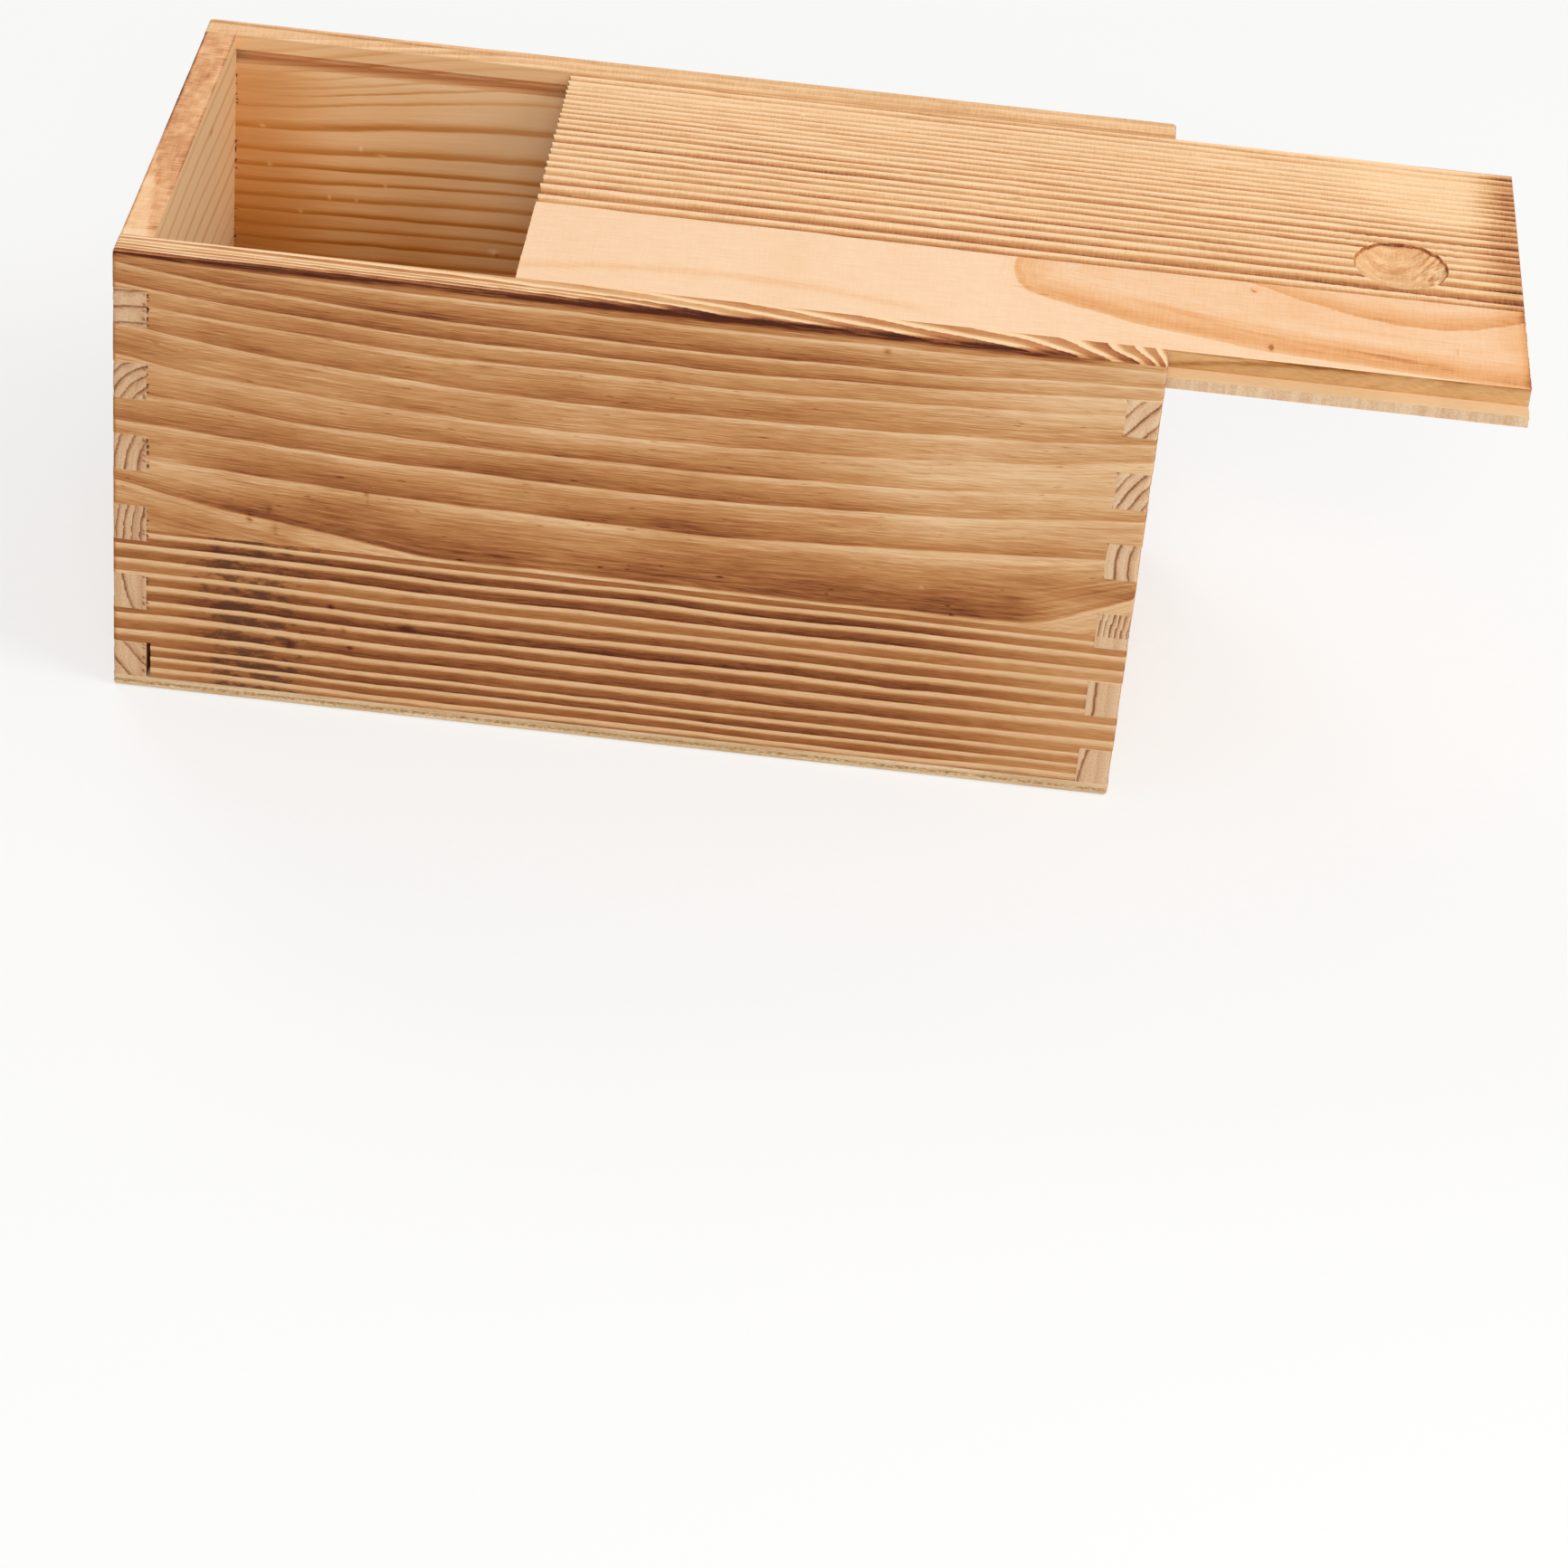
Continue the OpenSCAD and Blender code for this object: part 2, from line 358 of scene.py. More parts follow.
def woodMaterial(name, wood):
    # The ring number comes in as an attribute. Its fraction runs through the ring's shape and is
    # spread between the face's pale and burnt levels, which gives the tone. Streaks that follow
    # the rings, straight fibres and broad patches shift the tone, and the tone picks the colour.
    material = bpy.data.materials.new(name)
    material.use_nodes = True
    tree = material.node_tree
    tree.nodes.clear()
    axis = wood["axis"]
    place = addNode(tree, "TexCoord").outputs["Object"]
    given = {c: addNode(tree, "Attribute", attribute_name=c).outputs["Fac"] for c in channels}

    fine = {"Scale": 1.0, "Detail": 3.0, "Roughness": 0.6}
    broad = {"Scale": 1.0, "Detail": 2.0}
    length, perRing, streakAmount = wood["streak"]
    streakMap = ringGrain(tree, place, given["ring"], axis, length, perRing)
    streak = addNode(tree, "TexNoise", {"Vector": streakMap, **fine})
    length, perRing, patchAmount = wood["patch"]
    patchMap = ringGrain(tree, place, given["ring"], axis, length, perRing)
    patch = addNode(tree, "TexNoise", {"Vector": patchMap, **broad})
    length, width, fibreAmount = wood["fibre"]
    fibreMap = straightGrain(tree, place, axis, length, width)
    fibre = addNode(tree, "TexNoise", {"Vector": fibreMap, **fine})
    waveMap = straightGrain(tree, place, axis, *marks["wave"])
    wave = addNode(tree, "TexNoise", {"Vector": waveMap, **broad})

    ring = given["ring"]
    for layer, amount in ((wave, wood["wander"]), (fibre, wood["fuzz"])):
        ring = nudge(tree, ring, layer, amount)
    within = addNode(tree, "Math", {0: ring}, operation="FRACT")
    shape = addNode(tree, "ValToRGB", {"Fac": within}, stops=ringShapes[wood["shape"]])
    # no two rings are alike: each is 0.78 to 1.18 times as dark as its shape says
    number = addNode(tree, "Math", {0: ring}, operation="FLOOR")
    which = addNode(tree, "TexWhiteNoise", {"W": number}, noise_dimensions="1D")
    strength = addNode(tree, "Math", {0: which, 1: 0.4, 2: 0.78}, operation="MULTIPLY_ADD")
    shape = addNode(tree, "Math", {0: shape, 1: strength}, operation="MULTIPLY")

    spread = addNode(tree, "Math", {0: given["burnt"], 1: given["pale"]}, operation="SUBTRACT")
    tone = addNode(tree, "Math", {0: spread, 1: shape, 2: given["pale"]}, operation="MULTIPLY_ADD")
    layers = [(streak, streakAmount), (patch, patchAmount), (fibre, fibreAmount)]
    if "hatch" in wood:
        # the faint marks of the planer's knives, straight across the grain
        hatchMap = straightGrain(tree, place, "Y" if axis == "X" else "X", *marks["hatch"])
        hatch = addNode(tree, "TexNoise", {"Vector": hatchMap, "Scale": 1.0, "Detail": 1.0})
        layers.append((hatch, wood["hatch"]))
    for layer, amount in layers:
        tone = nudge(tree, tone, layer, amount)
    if "speck" in wood:
        # short dark resin canals: only the highest peaks of the noise
        speckMap = ringGrain(tree, place, given["ring"], axis, *marks["speck"])
        speck = addNode(tree, "TexNoise", {"Vector": speckMap, "Scale": 1.0, "Detail": 0.0})
        speck = addNode(tree, "MapRange", {"Value": speck, "From Min": 0.77, "From Max": 0.84})
        tone = addNode(tree, "Math", {0: speck, 1: wood["speck"], 2: tone}, operation="MULTIPLY_ADD")
    colour = addNode(tree, "ValToRGB", {"Fac": tone}, stops=wood["colours"])

    if "sooty" in wood:
        # soot clings to the soft wood in ragged flecks
        fleckMap = straightGrain(tree, place, axis, *marks["fleck"])
        fleck = addNode(tree, "TexNoise", {
            "Vector": fleckMap, "Scale": 1.0, "Detail": 5.0, "Roughness": 0.7})
        sooty = addNode(tree, "Math", {0: given["soot"], 1: 0.36, 2: fleck}, operation="MULTIPLY_ADD")
        sooty = addNode(tree, "MapRange", {"Value": sooty, "From Min": 0.75, "From Max": 0.88})
        valley = addNode(tree, "MapRange", {
            "Value": shape, "From Min": 0.2, "From Max": 0.7, "To Max": 0.72})
        sooty = addNode(tree, "Math", {0: sooty, 1: valley}, operation="MULTIPLY")
        colour = addNode(tree, "Mix", {0: sooty, 6: colour, 7: linear(wood["sooty"])}, data_type="RGBA")

    smoothest, roughest = wood["roughness"]
    rough = addNode(tree, "MapRange", {"Value": tone, "To Min": smoothest, "To Max": roughest})
    height = addNode(tree, "Math", {0: streak, 1: 0.6, 2: fibre}, operation="MULTIPLY_ADD")
    grain = addNode(tree, "Bump", {"Height": height, "Strength": 0.4, "Distance": 0.0001})
    shader = addNode(tree, "BsdfPrincipled", {
        "Base Color": colour, "Roughness": rough, "IOR": 1.5, "Specular IOR Level": 0.1,
        "Normal": grain})
    addNode(tree, "OutputMaterial", {"Surface": shader})
    return material


plywood = dict(
    veneerColours=[(0.3, "#C7A57C"), (0.5, "#DABD95"), (0.7, "#E6CCAA")], tornColour="#9C7040",
    veneerGrain=(30, 1.2),     # length and width of the veneer's streaks, in mm
    tornGrain=(1.4, 0.5))      # and of the flecks in the torn middle ply


def plyMaterial(name, face):
    # Thin birch-like plywood: a pale smooth veneer, and an edge whose middle ply is torn end
    # grain with dark flecks.
    material = bpy.data.materials.new(name)
    material.use_nodes = True
    tree = material.node_tree
    tree.nodes.clear()
    place = addNode(tree, "TexCoord").outputs["Object"]
    veneerMap = straightGrain(tree, place, "X", *plywood["veneerGrain"])
    veneer = addNode(tree, "TexNoise", {
        "Vector": veneerMap, "Scale": 1.0, "Detail": 4.0, "Roughness": 0.6})
    colour = addNode(tree, "ValToRGB", {"Fac": veneer}, stops=plywood["veneerColours"])
    if not face:
        # the ring attribute is 1 in the middle ply, and raises the flecks there
        fleckMap = straightGrain(tree, place, "X", *plywood["tornGrain"])
        fleck = addNode(tree, "TexNoise", {
            "Vector": fleckMap, "Scale": 1.0, "Detail": 4.0, "Roughness": 0.7})
        core = addNode(tree, "Attribute", attribute_name="ring").outputs["Fac"]
        torn = addNode(tree, "Math", {0: core, 1: 0.22, 2: fleck}, operation="MULTIPLY_ADD")
        torn = addNode(tree, "MapRange", {"Value": torn, "From Min": 0.54, "From Max": 0.84})
        tornColour = linear(plywood["tornColour"])
        colour = addNode(tree, "Mix", {0: torn, 6: colour, 7: tornColour}, data_type="RGBA")
    grain = addNode(tree, "Bump", {"Height": veneer, "Strength": 0.4, "Distance": 0.0002})
    shader = addNode(tree, "BsdfPrincipled", {
        "Base Color": colour, "Roughness": 0.75, "IOR": 1.5, "Specular IOR Level": 0.15,
        "Normal": grain})
    addNode(tree, "OutputMaterial", {"Surface": shader})
    return material


materials = {name: woodMaterial(name, wood) for name, wood in woods.items()}
materials["plyFace"] = plyMaterial("plyFace", True)
materials["plyEdge"] = plyMaterial("plyEdge", False)
print("materials made")

joint = dict(
    finger=12,         # height of one finger
    leftGap=0.8,       # the torn pits behind the left fingers
    pitDepth=2.4,      # how far they reach into the wall from either face
    lowestGap=1.2,     # the one saw cut that stands open, behind the lowest left finger
    rightGap=0.2,      # the small pits at the right fingers' corners
    cornerPit=0.7,     # and how far those reach up and down from each corner
    grooveLow=138.6, grooveHigh=143.2, grooveDepth=6.4,
    cornerRadius=1.1)

boxLow, boxHigh = corners("bottom_panel")
boxHigh[2] = corners("back_wall")[1][2]
wall = corners("left_end_wall")[1][0] - boxLow[0]
baseTop = corners("bottom_panel")[1][2]
innerLeft, innerRight = boxLow[0] + wall, boxHigh[0] - wall
fingerEdges = list(np.arange(boxHigh[2], baseTop - 1, -joint["finger"]))
arris = np.array([0, 0.25, 0.55, 0.95, 1.4])      # closer grid lines beside a rounded edge


def isEndFinger(z):
    # the cells between the finger edges belong to the long and the end walls in turn
    return np.floor((boxHigh[2] - z) / joint["finger"]) % 2 == 1


def rounded(points):
    # only the whole box's outer edges are rounded
    return roundCorners(points, boxLow, boxHigh, joint["cornerRadius"])


def longWallLines(low, high, spots, stepX, stepZ):
    # grid lines on every edge of the sockets and the groove, close together beside a rounded
    # edge and round a spot, and elsewhere stepX and stepZ apart at most
    gapLines = [innerLeft, innerLeft + joint["leftGap"] / 2, innerLeft + joint["leftGap"],
                innerLeft + joint["lowestGap"], innerRight - joint["rightGap"], innerRight]
    xs = gridLines([*(low[0] + arris), *(high[0] - arris), *gapLines, *spotKnots(spots)], stepX)
    grooveLines = [joint["grooveLow"], joint["grooveHigh"]]
    inside = [z for z in [*fingerEdges, *grooveLines, *(boxHigh[2] - arris)] if low[2] <= z <= high[2]]
    zs = gridLines([low[2], high[2], *inside], stepZ)
    faceAt = low[1] if low[1] < 0 else high[1]
    grooveAt = np.sign(faceAt) * (abs(faceAt) - wall + joint["grooveDepth"])
    ys = gridLines([low[1], high[1], grooveAt, *(faceAt - np.sign(faceAt) * arris)], 0.6)
    return xs, ys, zs


def longWallFilled(x, y, z):
    # A cell is empty in the groove and in the sockets for the end walls' fingers. Behind the left
    # fingers the saw tore pits into the wood from either face, where a noise down the joint is
    # high. Each is half or all of the gap wide.
    fromInside = abs(y) - (boxHigh[1] - wall)
    outerPits = (softNoise(z / 0.6, 0, 8) > 0) & (fromInside > wall - joint["pitDepth"])
    innerPits = (softNoise(z / 0.6, 0, 9) > 0.2) & (fromInside < joint["pitDepth"])
    pits = (outerPits | innerPits) * (0.5 + 0.5 * (softNoise(z / 1.1, 0, 10) > 0))
    fromMiddle = np.abs((boxHigh[2] - z) / joint["finger"] % 1 - 0.5) * joint["finger"]
    left = np.where(z < baseTop + joint["finger"], joint["lowestGap"], joint["leftGap"] * pits)
    right = joint["rightGap"] * (fromMiddle > joint["finger"] / 2 - joint["cornerPit"])
    socket = isEndFinger(z) & ((x < innerLeft + left) | (x > innerRight - right))
    groove = (z > joint["grooveLow"]) & (z < joint["grooveHigh"]) & (fromInside < joint["grooveDepth"])
    return ~socket & ~groove


def onWallTop(x, y, z):
    # the very top of the walls, and not the ledges of the groove and the fingers
    return z > boxHigh[2] - 0.1


def leftArrisBurn(x):
    # the flame browned the front wall's left edge, a millimetre wide
    return 0.3 * ease((boxLow[0] + 1.3 - x) / 0.9)


def sunkFurther(depth, seed):
    # depth * (1 + 0.35 * a slow noise), because the brush digs unevenly
    return lambda x, y, z: depth * (1 + 0.35 * softNoise((x + y) / 22, (z + y) / 6, seed))


frontUpper = dict(
    name="frontUpperBoard", node="front_upper_board", body="box", slot="scorched_pine",
    # places of the pale lines at mid length, and how far each one climbs at either end
    height=[160, 152, 144.2, 136.2, 130.5, 124.8, 114.8, 105.2, 96.5, 87.2, 75.5],
    leftRise=[2, 2, 2, 6, 5.3, 5.2, 7.2, 6.6, 4, 3.8, 4.5],
    rightRise=[1, 1, 1, 3.5, 5, 5, 5.7, 8.5, 6.5, 7, 6.3],
    # the lowest line, and where it starts to climb at either end, over what length and how far
    lowestLine=56.8, leftWedge=(-58, 92, 15), rightWedge=(119, 31, 12.8),
    slant=2.2,         # how far the rings climb for each mm into the board
    relief=0.07,
    # a pin knot and a few specks: x, z, two half widths, strength
    spots=[(71, 143, 0.9, 0.9, 0.4), (88, 66, 0.6, 0.5, -0.3), (-75.5, 76.6, 0.7, 0.6, 0.35),
           (-75, 74.5, 0.3, 1.8, 0.15), (-43, 123.5, 2.5, 0.35, 0.25), (-92, 115.8, 1.8, 0.3, 0.25),
           (-104, 68, 1.2, 1.5, 0.2), (-109.5, 64, 0.8, 1.6, 0.2), (-102, 61.5, 0.8, 1.8, 0.2)])


def frontUpperRing(x, y, z):
    # smile-shaped lines; the lowest one dips under the glue seam and shows as a wedge each end
    z = z - frontUpper["slant"] * (y - boxLow[1])
    z = z + 0.5 * softNoise(x / 30, z / 14, 1) + 0.18 * softNoise(x / 9, z / 5, 2)
    left = np.clip(-x / 132, 0, None) ** 2.5
    right = np.clip(x / 133, 0, None) ** 2
    rises = zip(frontUpper["height"], frontUpper["leftRise"], frontUpper["rightRise"])
    lines = [h + a * left + b * right for h, a, b in rises]
    start, length, climb = frontUpper["leftWedge"]
    wedge = climb * np.clip((start - x) / length, 0, None) ** 1.1
    start, length, climb = frontUpper["rightWedge"]
    wedge = wedge + climb * np.clip((x - start) / length, 0, None) ** 1.1
    lines.append(frontUpper["lowestLine"] + wedge)
    lines += [lines[-1] - 28, lines[-1] - 50]      # two more, far below the seam
    return ringsBetween(z, lines)


def topArrisBurn(x, z):
    # the flame bites deepest along the top front edge, less towards the right end
    reach = 0.8 + 0.3 * bump((x - 35) / 95) + 0.12 * softNoise(x / 8, 0, 5) - 0.5 * ease((x - 112) / 25)
    return reach * ease((z - 145.5) / 1.7)


def frontUpperPale(x, y, z):
    # an even tone, darker at the left and paler at the top right, plus the char on the arrises
    left = 0.06 * ease((-40 - x) / 60)
    fresh = 0.08 * ease((x - 40) / 80) * ease((z - 66) / 25)
    return 0.16 + left - fresh + leftArrisBurn(x) + 0.72 * topArrisBurn(x, z)


def frontUpperBurnt(x, y, z):
    # an even tone with the browner and paler patches that follow, plus half the arris's char
    band = 0.14 * bump((z - 66) / 8) * bump((x + 5) / 105)     # the broad brown band over the seam
    fresh = 0.34 * ease((x - 30) / 90) * ease((z - 66) / 26)   # paler towards the right end
    under = 0.3 * bump((x + 122) / 18) * bump((z - 59.5) / 3)  # a brown patch under the left wedge
    clean = 0.3 * ease((x - 114) / 14) * ease((72 - z) / 6)    # the right wedge stayed pale
    faint = 0.25 * bump((z - 107.5) / 8)                       # a pale stretch at half height
    faint = faint + ease((-106 - x) / 30) * (0.1 + 0.22 * bump((z - 78) / 8))
    return 0.72 + band + under - fresh - clean - faint + 0.5 * topArrisBurn(x, z)


# The front wall's top: ring numbers along its front edge, its middle and its inner edge. The
# lines run level at the left, and leave through the front edge towards the right.
topFigure = dict(
    depths=(1.5, 6, 11),       # how far behind the front face each of the three rows lies
    at=[-150, -66, -25, 2, 23, 54, 77, 109, 123, 132, 141, 146, 150],
    front=[-4.3, -3.4, -2.6, -1.2, 0, 1, 2, 3, 4, 5, 6, 7, 8.3],
    middle=[-1.5, -0.5, 0, 0.5, 1, 2, 2.85, 3.75, 4.75, 5.6, 6.7, 7.6, 8.5],
    inner=[1, 0.8, 1.02, 1.5, 2, 2.9, 3.6, 4.6, 5.3, 6, 7.2, 8, 8.9],
    relief=0.22)


def frontTopRing(x, y, z):
    # each row's ring number at x, and straight lines between the rows
    u = y - boxLow[1]
    rows = ("front", "middle", "inner")
    front, middle, inner = (np.interp(x, topFigure["at"], topFigure[row]) for row in rows)
    frontAt, middleAt, innerAt = topFigure["depths"]
    outerHalf = (middle - front) * np.clip((u - frontAt) / (middleAt - frontAt), -0.33, 1)
    innerHalf = (inner - middle) * np.clip((u - middleAt) / (innerAt - middleAt), 0, 1.1)
    return 20 + front + outerHalf + innerHalf + 0.08 * softNoise(x / 14, y / 4, 6)


def frontTopBurn(x, y, depth):
    # char along the front edge, reaching depth mm in, and less at the left
    depth = depth * (0.6 + 0.4 * ease((x + 130) / 90))
    reach = 0.76 + 0.34 * bump((x - 35) / 90) - 0.42 * ease((x - 110) / 25)
    edge = ease((depth + 0.4 * softNoise(x / 5, 0, 7) - (y - boxLow[1])) / (0.8 * depth))
    return reach * edge


def frontTopPale(x, y, z):
    # the ribs are bare but for the char along the front edge
    return 0.01 + 0.86 * frontTopBurn(x, y, 3.3)


def frontTopBurnt(x, y, z):
    # between the ribs it is browner towards the right, and the char reaches further in
    return 0.6 + 0.12 * ease((x + 20) / 90) + 0.38 * frontTopBurn(x, y, 5)


low, high = corners("front_upper_board")
makeBoard(frontUpper, longWallLines(low, high, frontUpper["spots"], 2, 0.5), longWallFilled, [
    dict(material="rawPine", sides=[-3, 3, 2], ring=frontUpperRing, pale=0, burnt=0.7),
    dict(material="endGrain", sides=[-1, 1], ring=frontUpperRing, pale=0.25, burnt=0.8),
    dict(material="scorchedPine", sides=[-2], ring=frontUpperRing, pale=frontUpperPale,
         burnt=frontUpperBurnt, depth=sunkFurther(frontUpper["relief"], 3), spots=frontUpper["spots"]),
    dict(material="toastedRibs", sides=[3], where=onWallTop, ring=frontTopRing,
         pale=frontTopPale, burnt=frontTopBurnt, depth=topFigure["relief"]),
], rounded)


frontLower = dict(
    name="frontLowerBoard", node="front_lower_board", body="box", slot="scorched_pine",
    height=[63, 58.6, 53.8, 49.6, 44.4, 40, 35, 29.8, 25, 19.2, 14.1, 10.1, 6.3, 1.5, -4, -9],
    leftRise=1.0, slant=0.5, relief=0.36,
    spots=[(-62.5, 31.5, 2.2, 1.2, 0.2), (-81, 28.5, 0.9, 0.8, 0.3), (-79, 22.5, 0.8, 0.7, 0.3),
           (-97, 21.5, 1.7, 1.6, 0.25), (-85, 36, 0.9, 0.9, 0.3)])


def frontLowerRing(x, y, z):
    # nearly straight, nearly upright rings
    z = z - frontLower["slant"] * (y - boxLow[1])
    z = z - frontLower["leftRise"] * ease((-60 - x) / 60)
    z = z + 0.35 * softNoise(x / 42, z / 16, 11) + 0.14 * softNoise(x / 12, z / 5, 12)
    return ringsAlong(-z, -np.array(frontLower["height"]))


def frontLowerBurnt(x, y, z):
    # deep brown, and paler towards both ends
    return 0.87 - 0.38 * ease((x - 80) / 65) - 0.16 * ease((-118 - x) / 20)


def frontSoot(x, y, z):
    # lamp-black smudges low on the left, with a few strays
    smudge = bump((x + 109) / 20) * (1 + 0.3 * softNoise(x / 9, z / 4, 14))
    stray = 0.5 * bump((x + 63) / 6) * bump((z - 33) / 4) + 0.3 * bump((x + 65) / 28)
    return np.clip((smudge + stray) * ease((66 - z) / 12), 0, 1.2)


low, high = corners("front_lower_board")
makeBoard(frontLower, longWallLines(low, high, frontLower["spots"], 2, 0.5), longWallFilled, [
    dict(material="rawPine", sides=[-3, 3, 2], ring=frontLowerRing, pale=0, burnt=0.7),
    dict(material="endGrain", sides=[-1, 1], ring=frontLowerRing, pale=0.25, burnt=0.8),
    dict(material="ridgedPine", sides=[-2], ring=frontLowerRing, soot=frontSoot,
         pale=lambda x, y, z: 0.1 + leftArrisBurn(x), burnt=frontLowerBurnt,
         depth=sunkFurther(frontLower["relief"], 13), spots=frontLower["spots"]),
], rounded)


backWall = dict(
    name="backWall", node="back_wall", body="box", slot="scorched_pine",
    # places of the growth lines inside, at the left corner and past the middle
    leftHeight=[
        152, 146, 141.5, 138, 135, 132.2, 129.5, 127, 123.5, 116.4, 108.8, 103.7, 98.4, 93.3, 88.3,
        83.2, 78.2, 73, 67.5, 62, 56, 49.5, 43, 36, 29, 21, 13, 4, -8, -24],
    rightHeight=[
        172, 166, 160, 155, 150.5, 146.5, 142.5, 139, 134.5, 124.8, 114.2, 107.3, 103.1, 96.5, 90.5,
        85.9, 80.8, 75, 69.5, 63.5, 57, 50, 42, 33, 24, 15, 6, -4, -16, -30],
    slant=1.1, relief=0.22,
    # splinters that the planer lifted along the lines inside
    spots=[(-131.5, 118, 0.9, 0.5, -0.5), (-100.5, 113.5, 0.5, 0.8, -0.4), (-94, 112, 1.6, 0.4, -0.5),
           (-129, 104.8, 0.7, 0.5, -0.5), (-92.5, 101.6, 0.5, 0.5, -0.6), (-110, 95.4, 0.5, 0.7, -0.5),
           (-101.5, 95.4, 0.5, 0.5, -0.5), (-119, 89.5, 0.6, 0.5, -0.5), (-57.5, 82.5, 1.4, 1.0, -0.4),
           (-56.5, 81.5, 0.5, 0.5, 0.5)])


def backWallRing(x, y, z):
    # lines that climb from the left corner towards the middle
    z = z + backWall["slant"] * (y - (boxHigh[1] - wall))
    z = z + 0.45 * softNoise(x / 24, z / 9, 21) + 0.15 * softNoise(x / 8, z / 5, 22)
    climb = ease((x + 150) / 110)
    lines = [a + (b - a) * climb for a, b in zip(backWall["leftHeight"], backWall["rightHeight"])]
    return ringsBetween(z, lines)


def backInnerPale(x, y, z):
    # painted shade: darker low down and in the left corner; painted light: paler towards the
    # right, under the lid's shadow; and paler just under the groove
    # painted shade in the left corner, painted light towards the right
    corner = 0.36 * ease((-100 - x) / 36) - 0.12 * ease((x + 90) / 40)
    # painted shade low down
    return 0.1 + corner + 0.36 * ease((124 - z) / 50) - 0.14 * ease((z - 136) / 1.5)


def backInnerBurnt(x, y, z):
    # strong lines low down, fading in three steps towards the top, and fading towards the right,
    # which is painted light under the lid's shadow
    # painted light: weaker lines on the right, under the lid's shadow
    right = 0.12 * ease((x + 90) / 40)
    return (0.92 - right - 0.16 * ease((z - 98) / 16) - 0.28 * ease((z - 121) / 8)
            - 0.1 * ease((z - 131) / 6))


def outerBurnt(x, y, z):
    # the three walls that face away: broad patches, and char on the top arris
    return 0.68 + 0.12 * softNoise(x / 60, z / 30, 23) + 0.35 * ease((z - 145) / 3)


def outerPale(x, y, z):
    # the same char on the ridges
    return 0.15 + 0.5 * ease((z - 145.5) / 3)


def backTopTone(x, y, z):
    # a browner streak by the back edge at the left, and one by the inner edge at the right
    streak = 0.35 * bump((y - 73.6 + 0.012 * (x + 150)) / 0.7) * ease((-40 - x) / 50)
    streak = streak + 0.25 * bump((y - 66.8) / 0.8) * ease((x - 10) / 70)
    return 0.2 + streak + 0.2 * ease((y - boxHigh[1] + 1) / 1) + 0.06 * softNoise(x / 9, y / 2.5, 25)


low, high = corners("back_wall")
makeBoard(backWall, longWallLines(low, high, backWall["spots"], 2.8, 0.6), longWallFilled, [
    dict(material="rawPine", sides=[-3, 3], ring=backWallRing, pale=0.22, burnt=0.46),
    dict(material="rawPine", sides=[-2], ring=backWallRing, pale=backInnerPale, burnt=backInnerBurnt,
         spots=backWall["spots"]),
    dict(material="rawPine", sides=[-2], where=lambda x, y, z: y > boxHigh[1] - wall + 1,
         ring=backWallRing, pale=0.12, burnt=0.46),
    dict(material="rawPine", sides=[-2], where=lambda x, y, z: z > joint["grooveHigh"],
         ring=backWallRing, pale=0.1, burnt=0.3),
    dict(material="endGrain", sides=[-1, 1], ring=backWallRing, pale=0.25, burnt=0.8),
    dict(material="scorchedPine", sides=[2], ring=backWallRing,
         pale=outerPale, burnt=outerBurnt, depth=sunkFurther(backWall["relief"], 24)),
    dict(material="toastedPine", sides=[3], where=onWallTop, ring=backWallRing,
         pale=backTopTone, burnt=lambda x, y, z: backTopTone(x, y, z) + 0.14, depth=0.1),
], rounded)


def endWallLines(low, high):
    # grid lines on every finger's edges, and close together beside the box's outer edges
    innerFront, innerBack = boxLow[1] + wall, boxHigh[1] - wall
    xs = gridLines([low[0], high[0], *((low[0] + arris) if low[0] < 0 else (high[0] - arris))], 0.8)
    ys = gridLines([innerFront, innerBack, *(low[1] + arris), *(high[1] - arris)], 1.6)
    edges = [z for z in [*fingerEdges, *(boxHigh[2] - arris)] if low[2] <= z <= high[2]]
    zs = gridLines([low[2], high[2], *edges], 0.6)
    return xs, ys, zs


def endWallFilled(x, y, z):
    # the plain wall between the long ones, and its fingers on to the outer faces
    return (abs(y) < boxHigh[1] - wall) | isEndFinger(z)


def ringsRound(heart, radii):
    # the ring number is the distance from the heart of the tree, read off the rings' radii; the
    # heart runs along y at a place (x, z) beside the board
    def ring(x, y, z):
        acrossX = x - heart[0] + 1.2 * softNoise(y / 40, z / 30, 31)
        acrossZ = z - heart[1] + 1.2 * softNoise(y / 55, 3, 32)
        return ringsAlong(np.hypot(acrossX, acrossZ), radii)
    return ring


def fingerRings(middle, fingers):
    # Every finger shows its own cut through the rings: lines at an angle in degrees, a gap in mm
    # between them, a bend in 1/mm and a start as a share of the gap. A line is equally thin
    # whatever the gap: the ring number counts the distance to the next line, 3 mm to a ring.
    table = np.array(fingers)

    def ring(x, y, z):
        number = np.floor(((boxHigh[2] - z) / joint["finger"] - 1) / 2)
        number = np.clip(number, 0, len(table) - 1).astype(int)
        angle, gap, bend, start = np.moveaxis(table[number], -1, 0)
        angle = np.radians(angle)
        u = x - middle
        v = z - boxHigh[2] + (2 * number + 1.5) * joint["finger"]
        along = u * np.cos(angle) + v * np.sin(angle)
        across = v * np.cos(angle) - u * np.sin(angle) + bend * along ** 2
        lines = 50 + start + (across + 0.2 * softNoise(u / 2, v / 2, 35)) / gap
        return np.ceil(lines) - np.minimum((np.ceil(lines) - lines) * gap / 3, 0.94)
    return ring


endRelief = 0.2        # how deep the brush went on the end walls


def endSkins(ring, fingers, outer, paleFinger):
    # raw inside, sawn end grain on the fingers, and scorched on the side that looks outwards
    return [
        dict(material="rawPineAcross", sides=[-3, 3, -outer], ring=ring, pale=0.06, burnt=0.42),
        dict(material="endGrain", sides=[-2, 2], ring=fingers, pale=paleFinger, burnt=0.78),
        dict(material="scorchedPineAcross", sides=[outer], ring=ring,
             pale=outerPale, burnt=outerBurnt, depth=sunkFurther(endRelief, 33)),
    ]


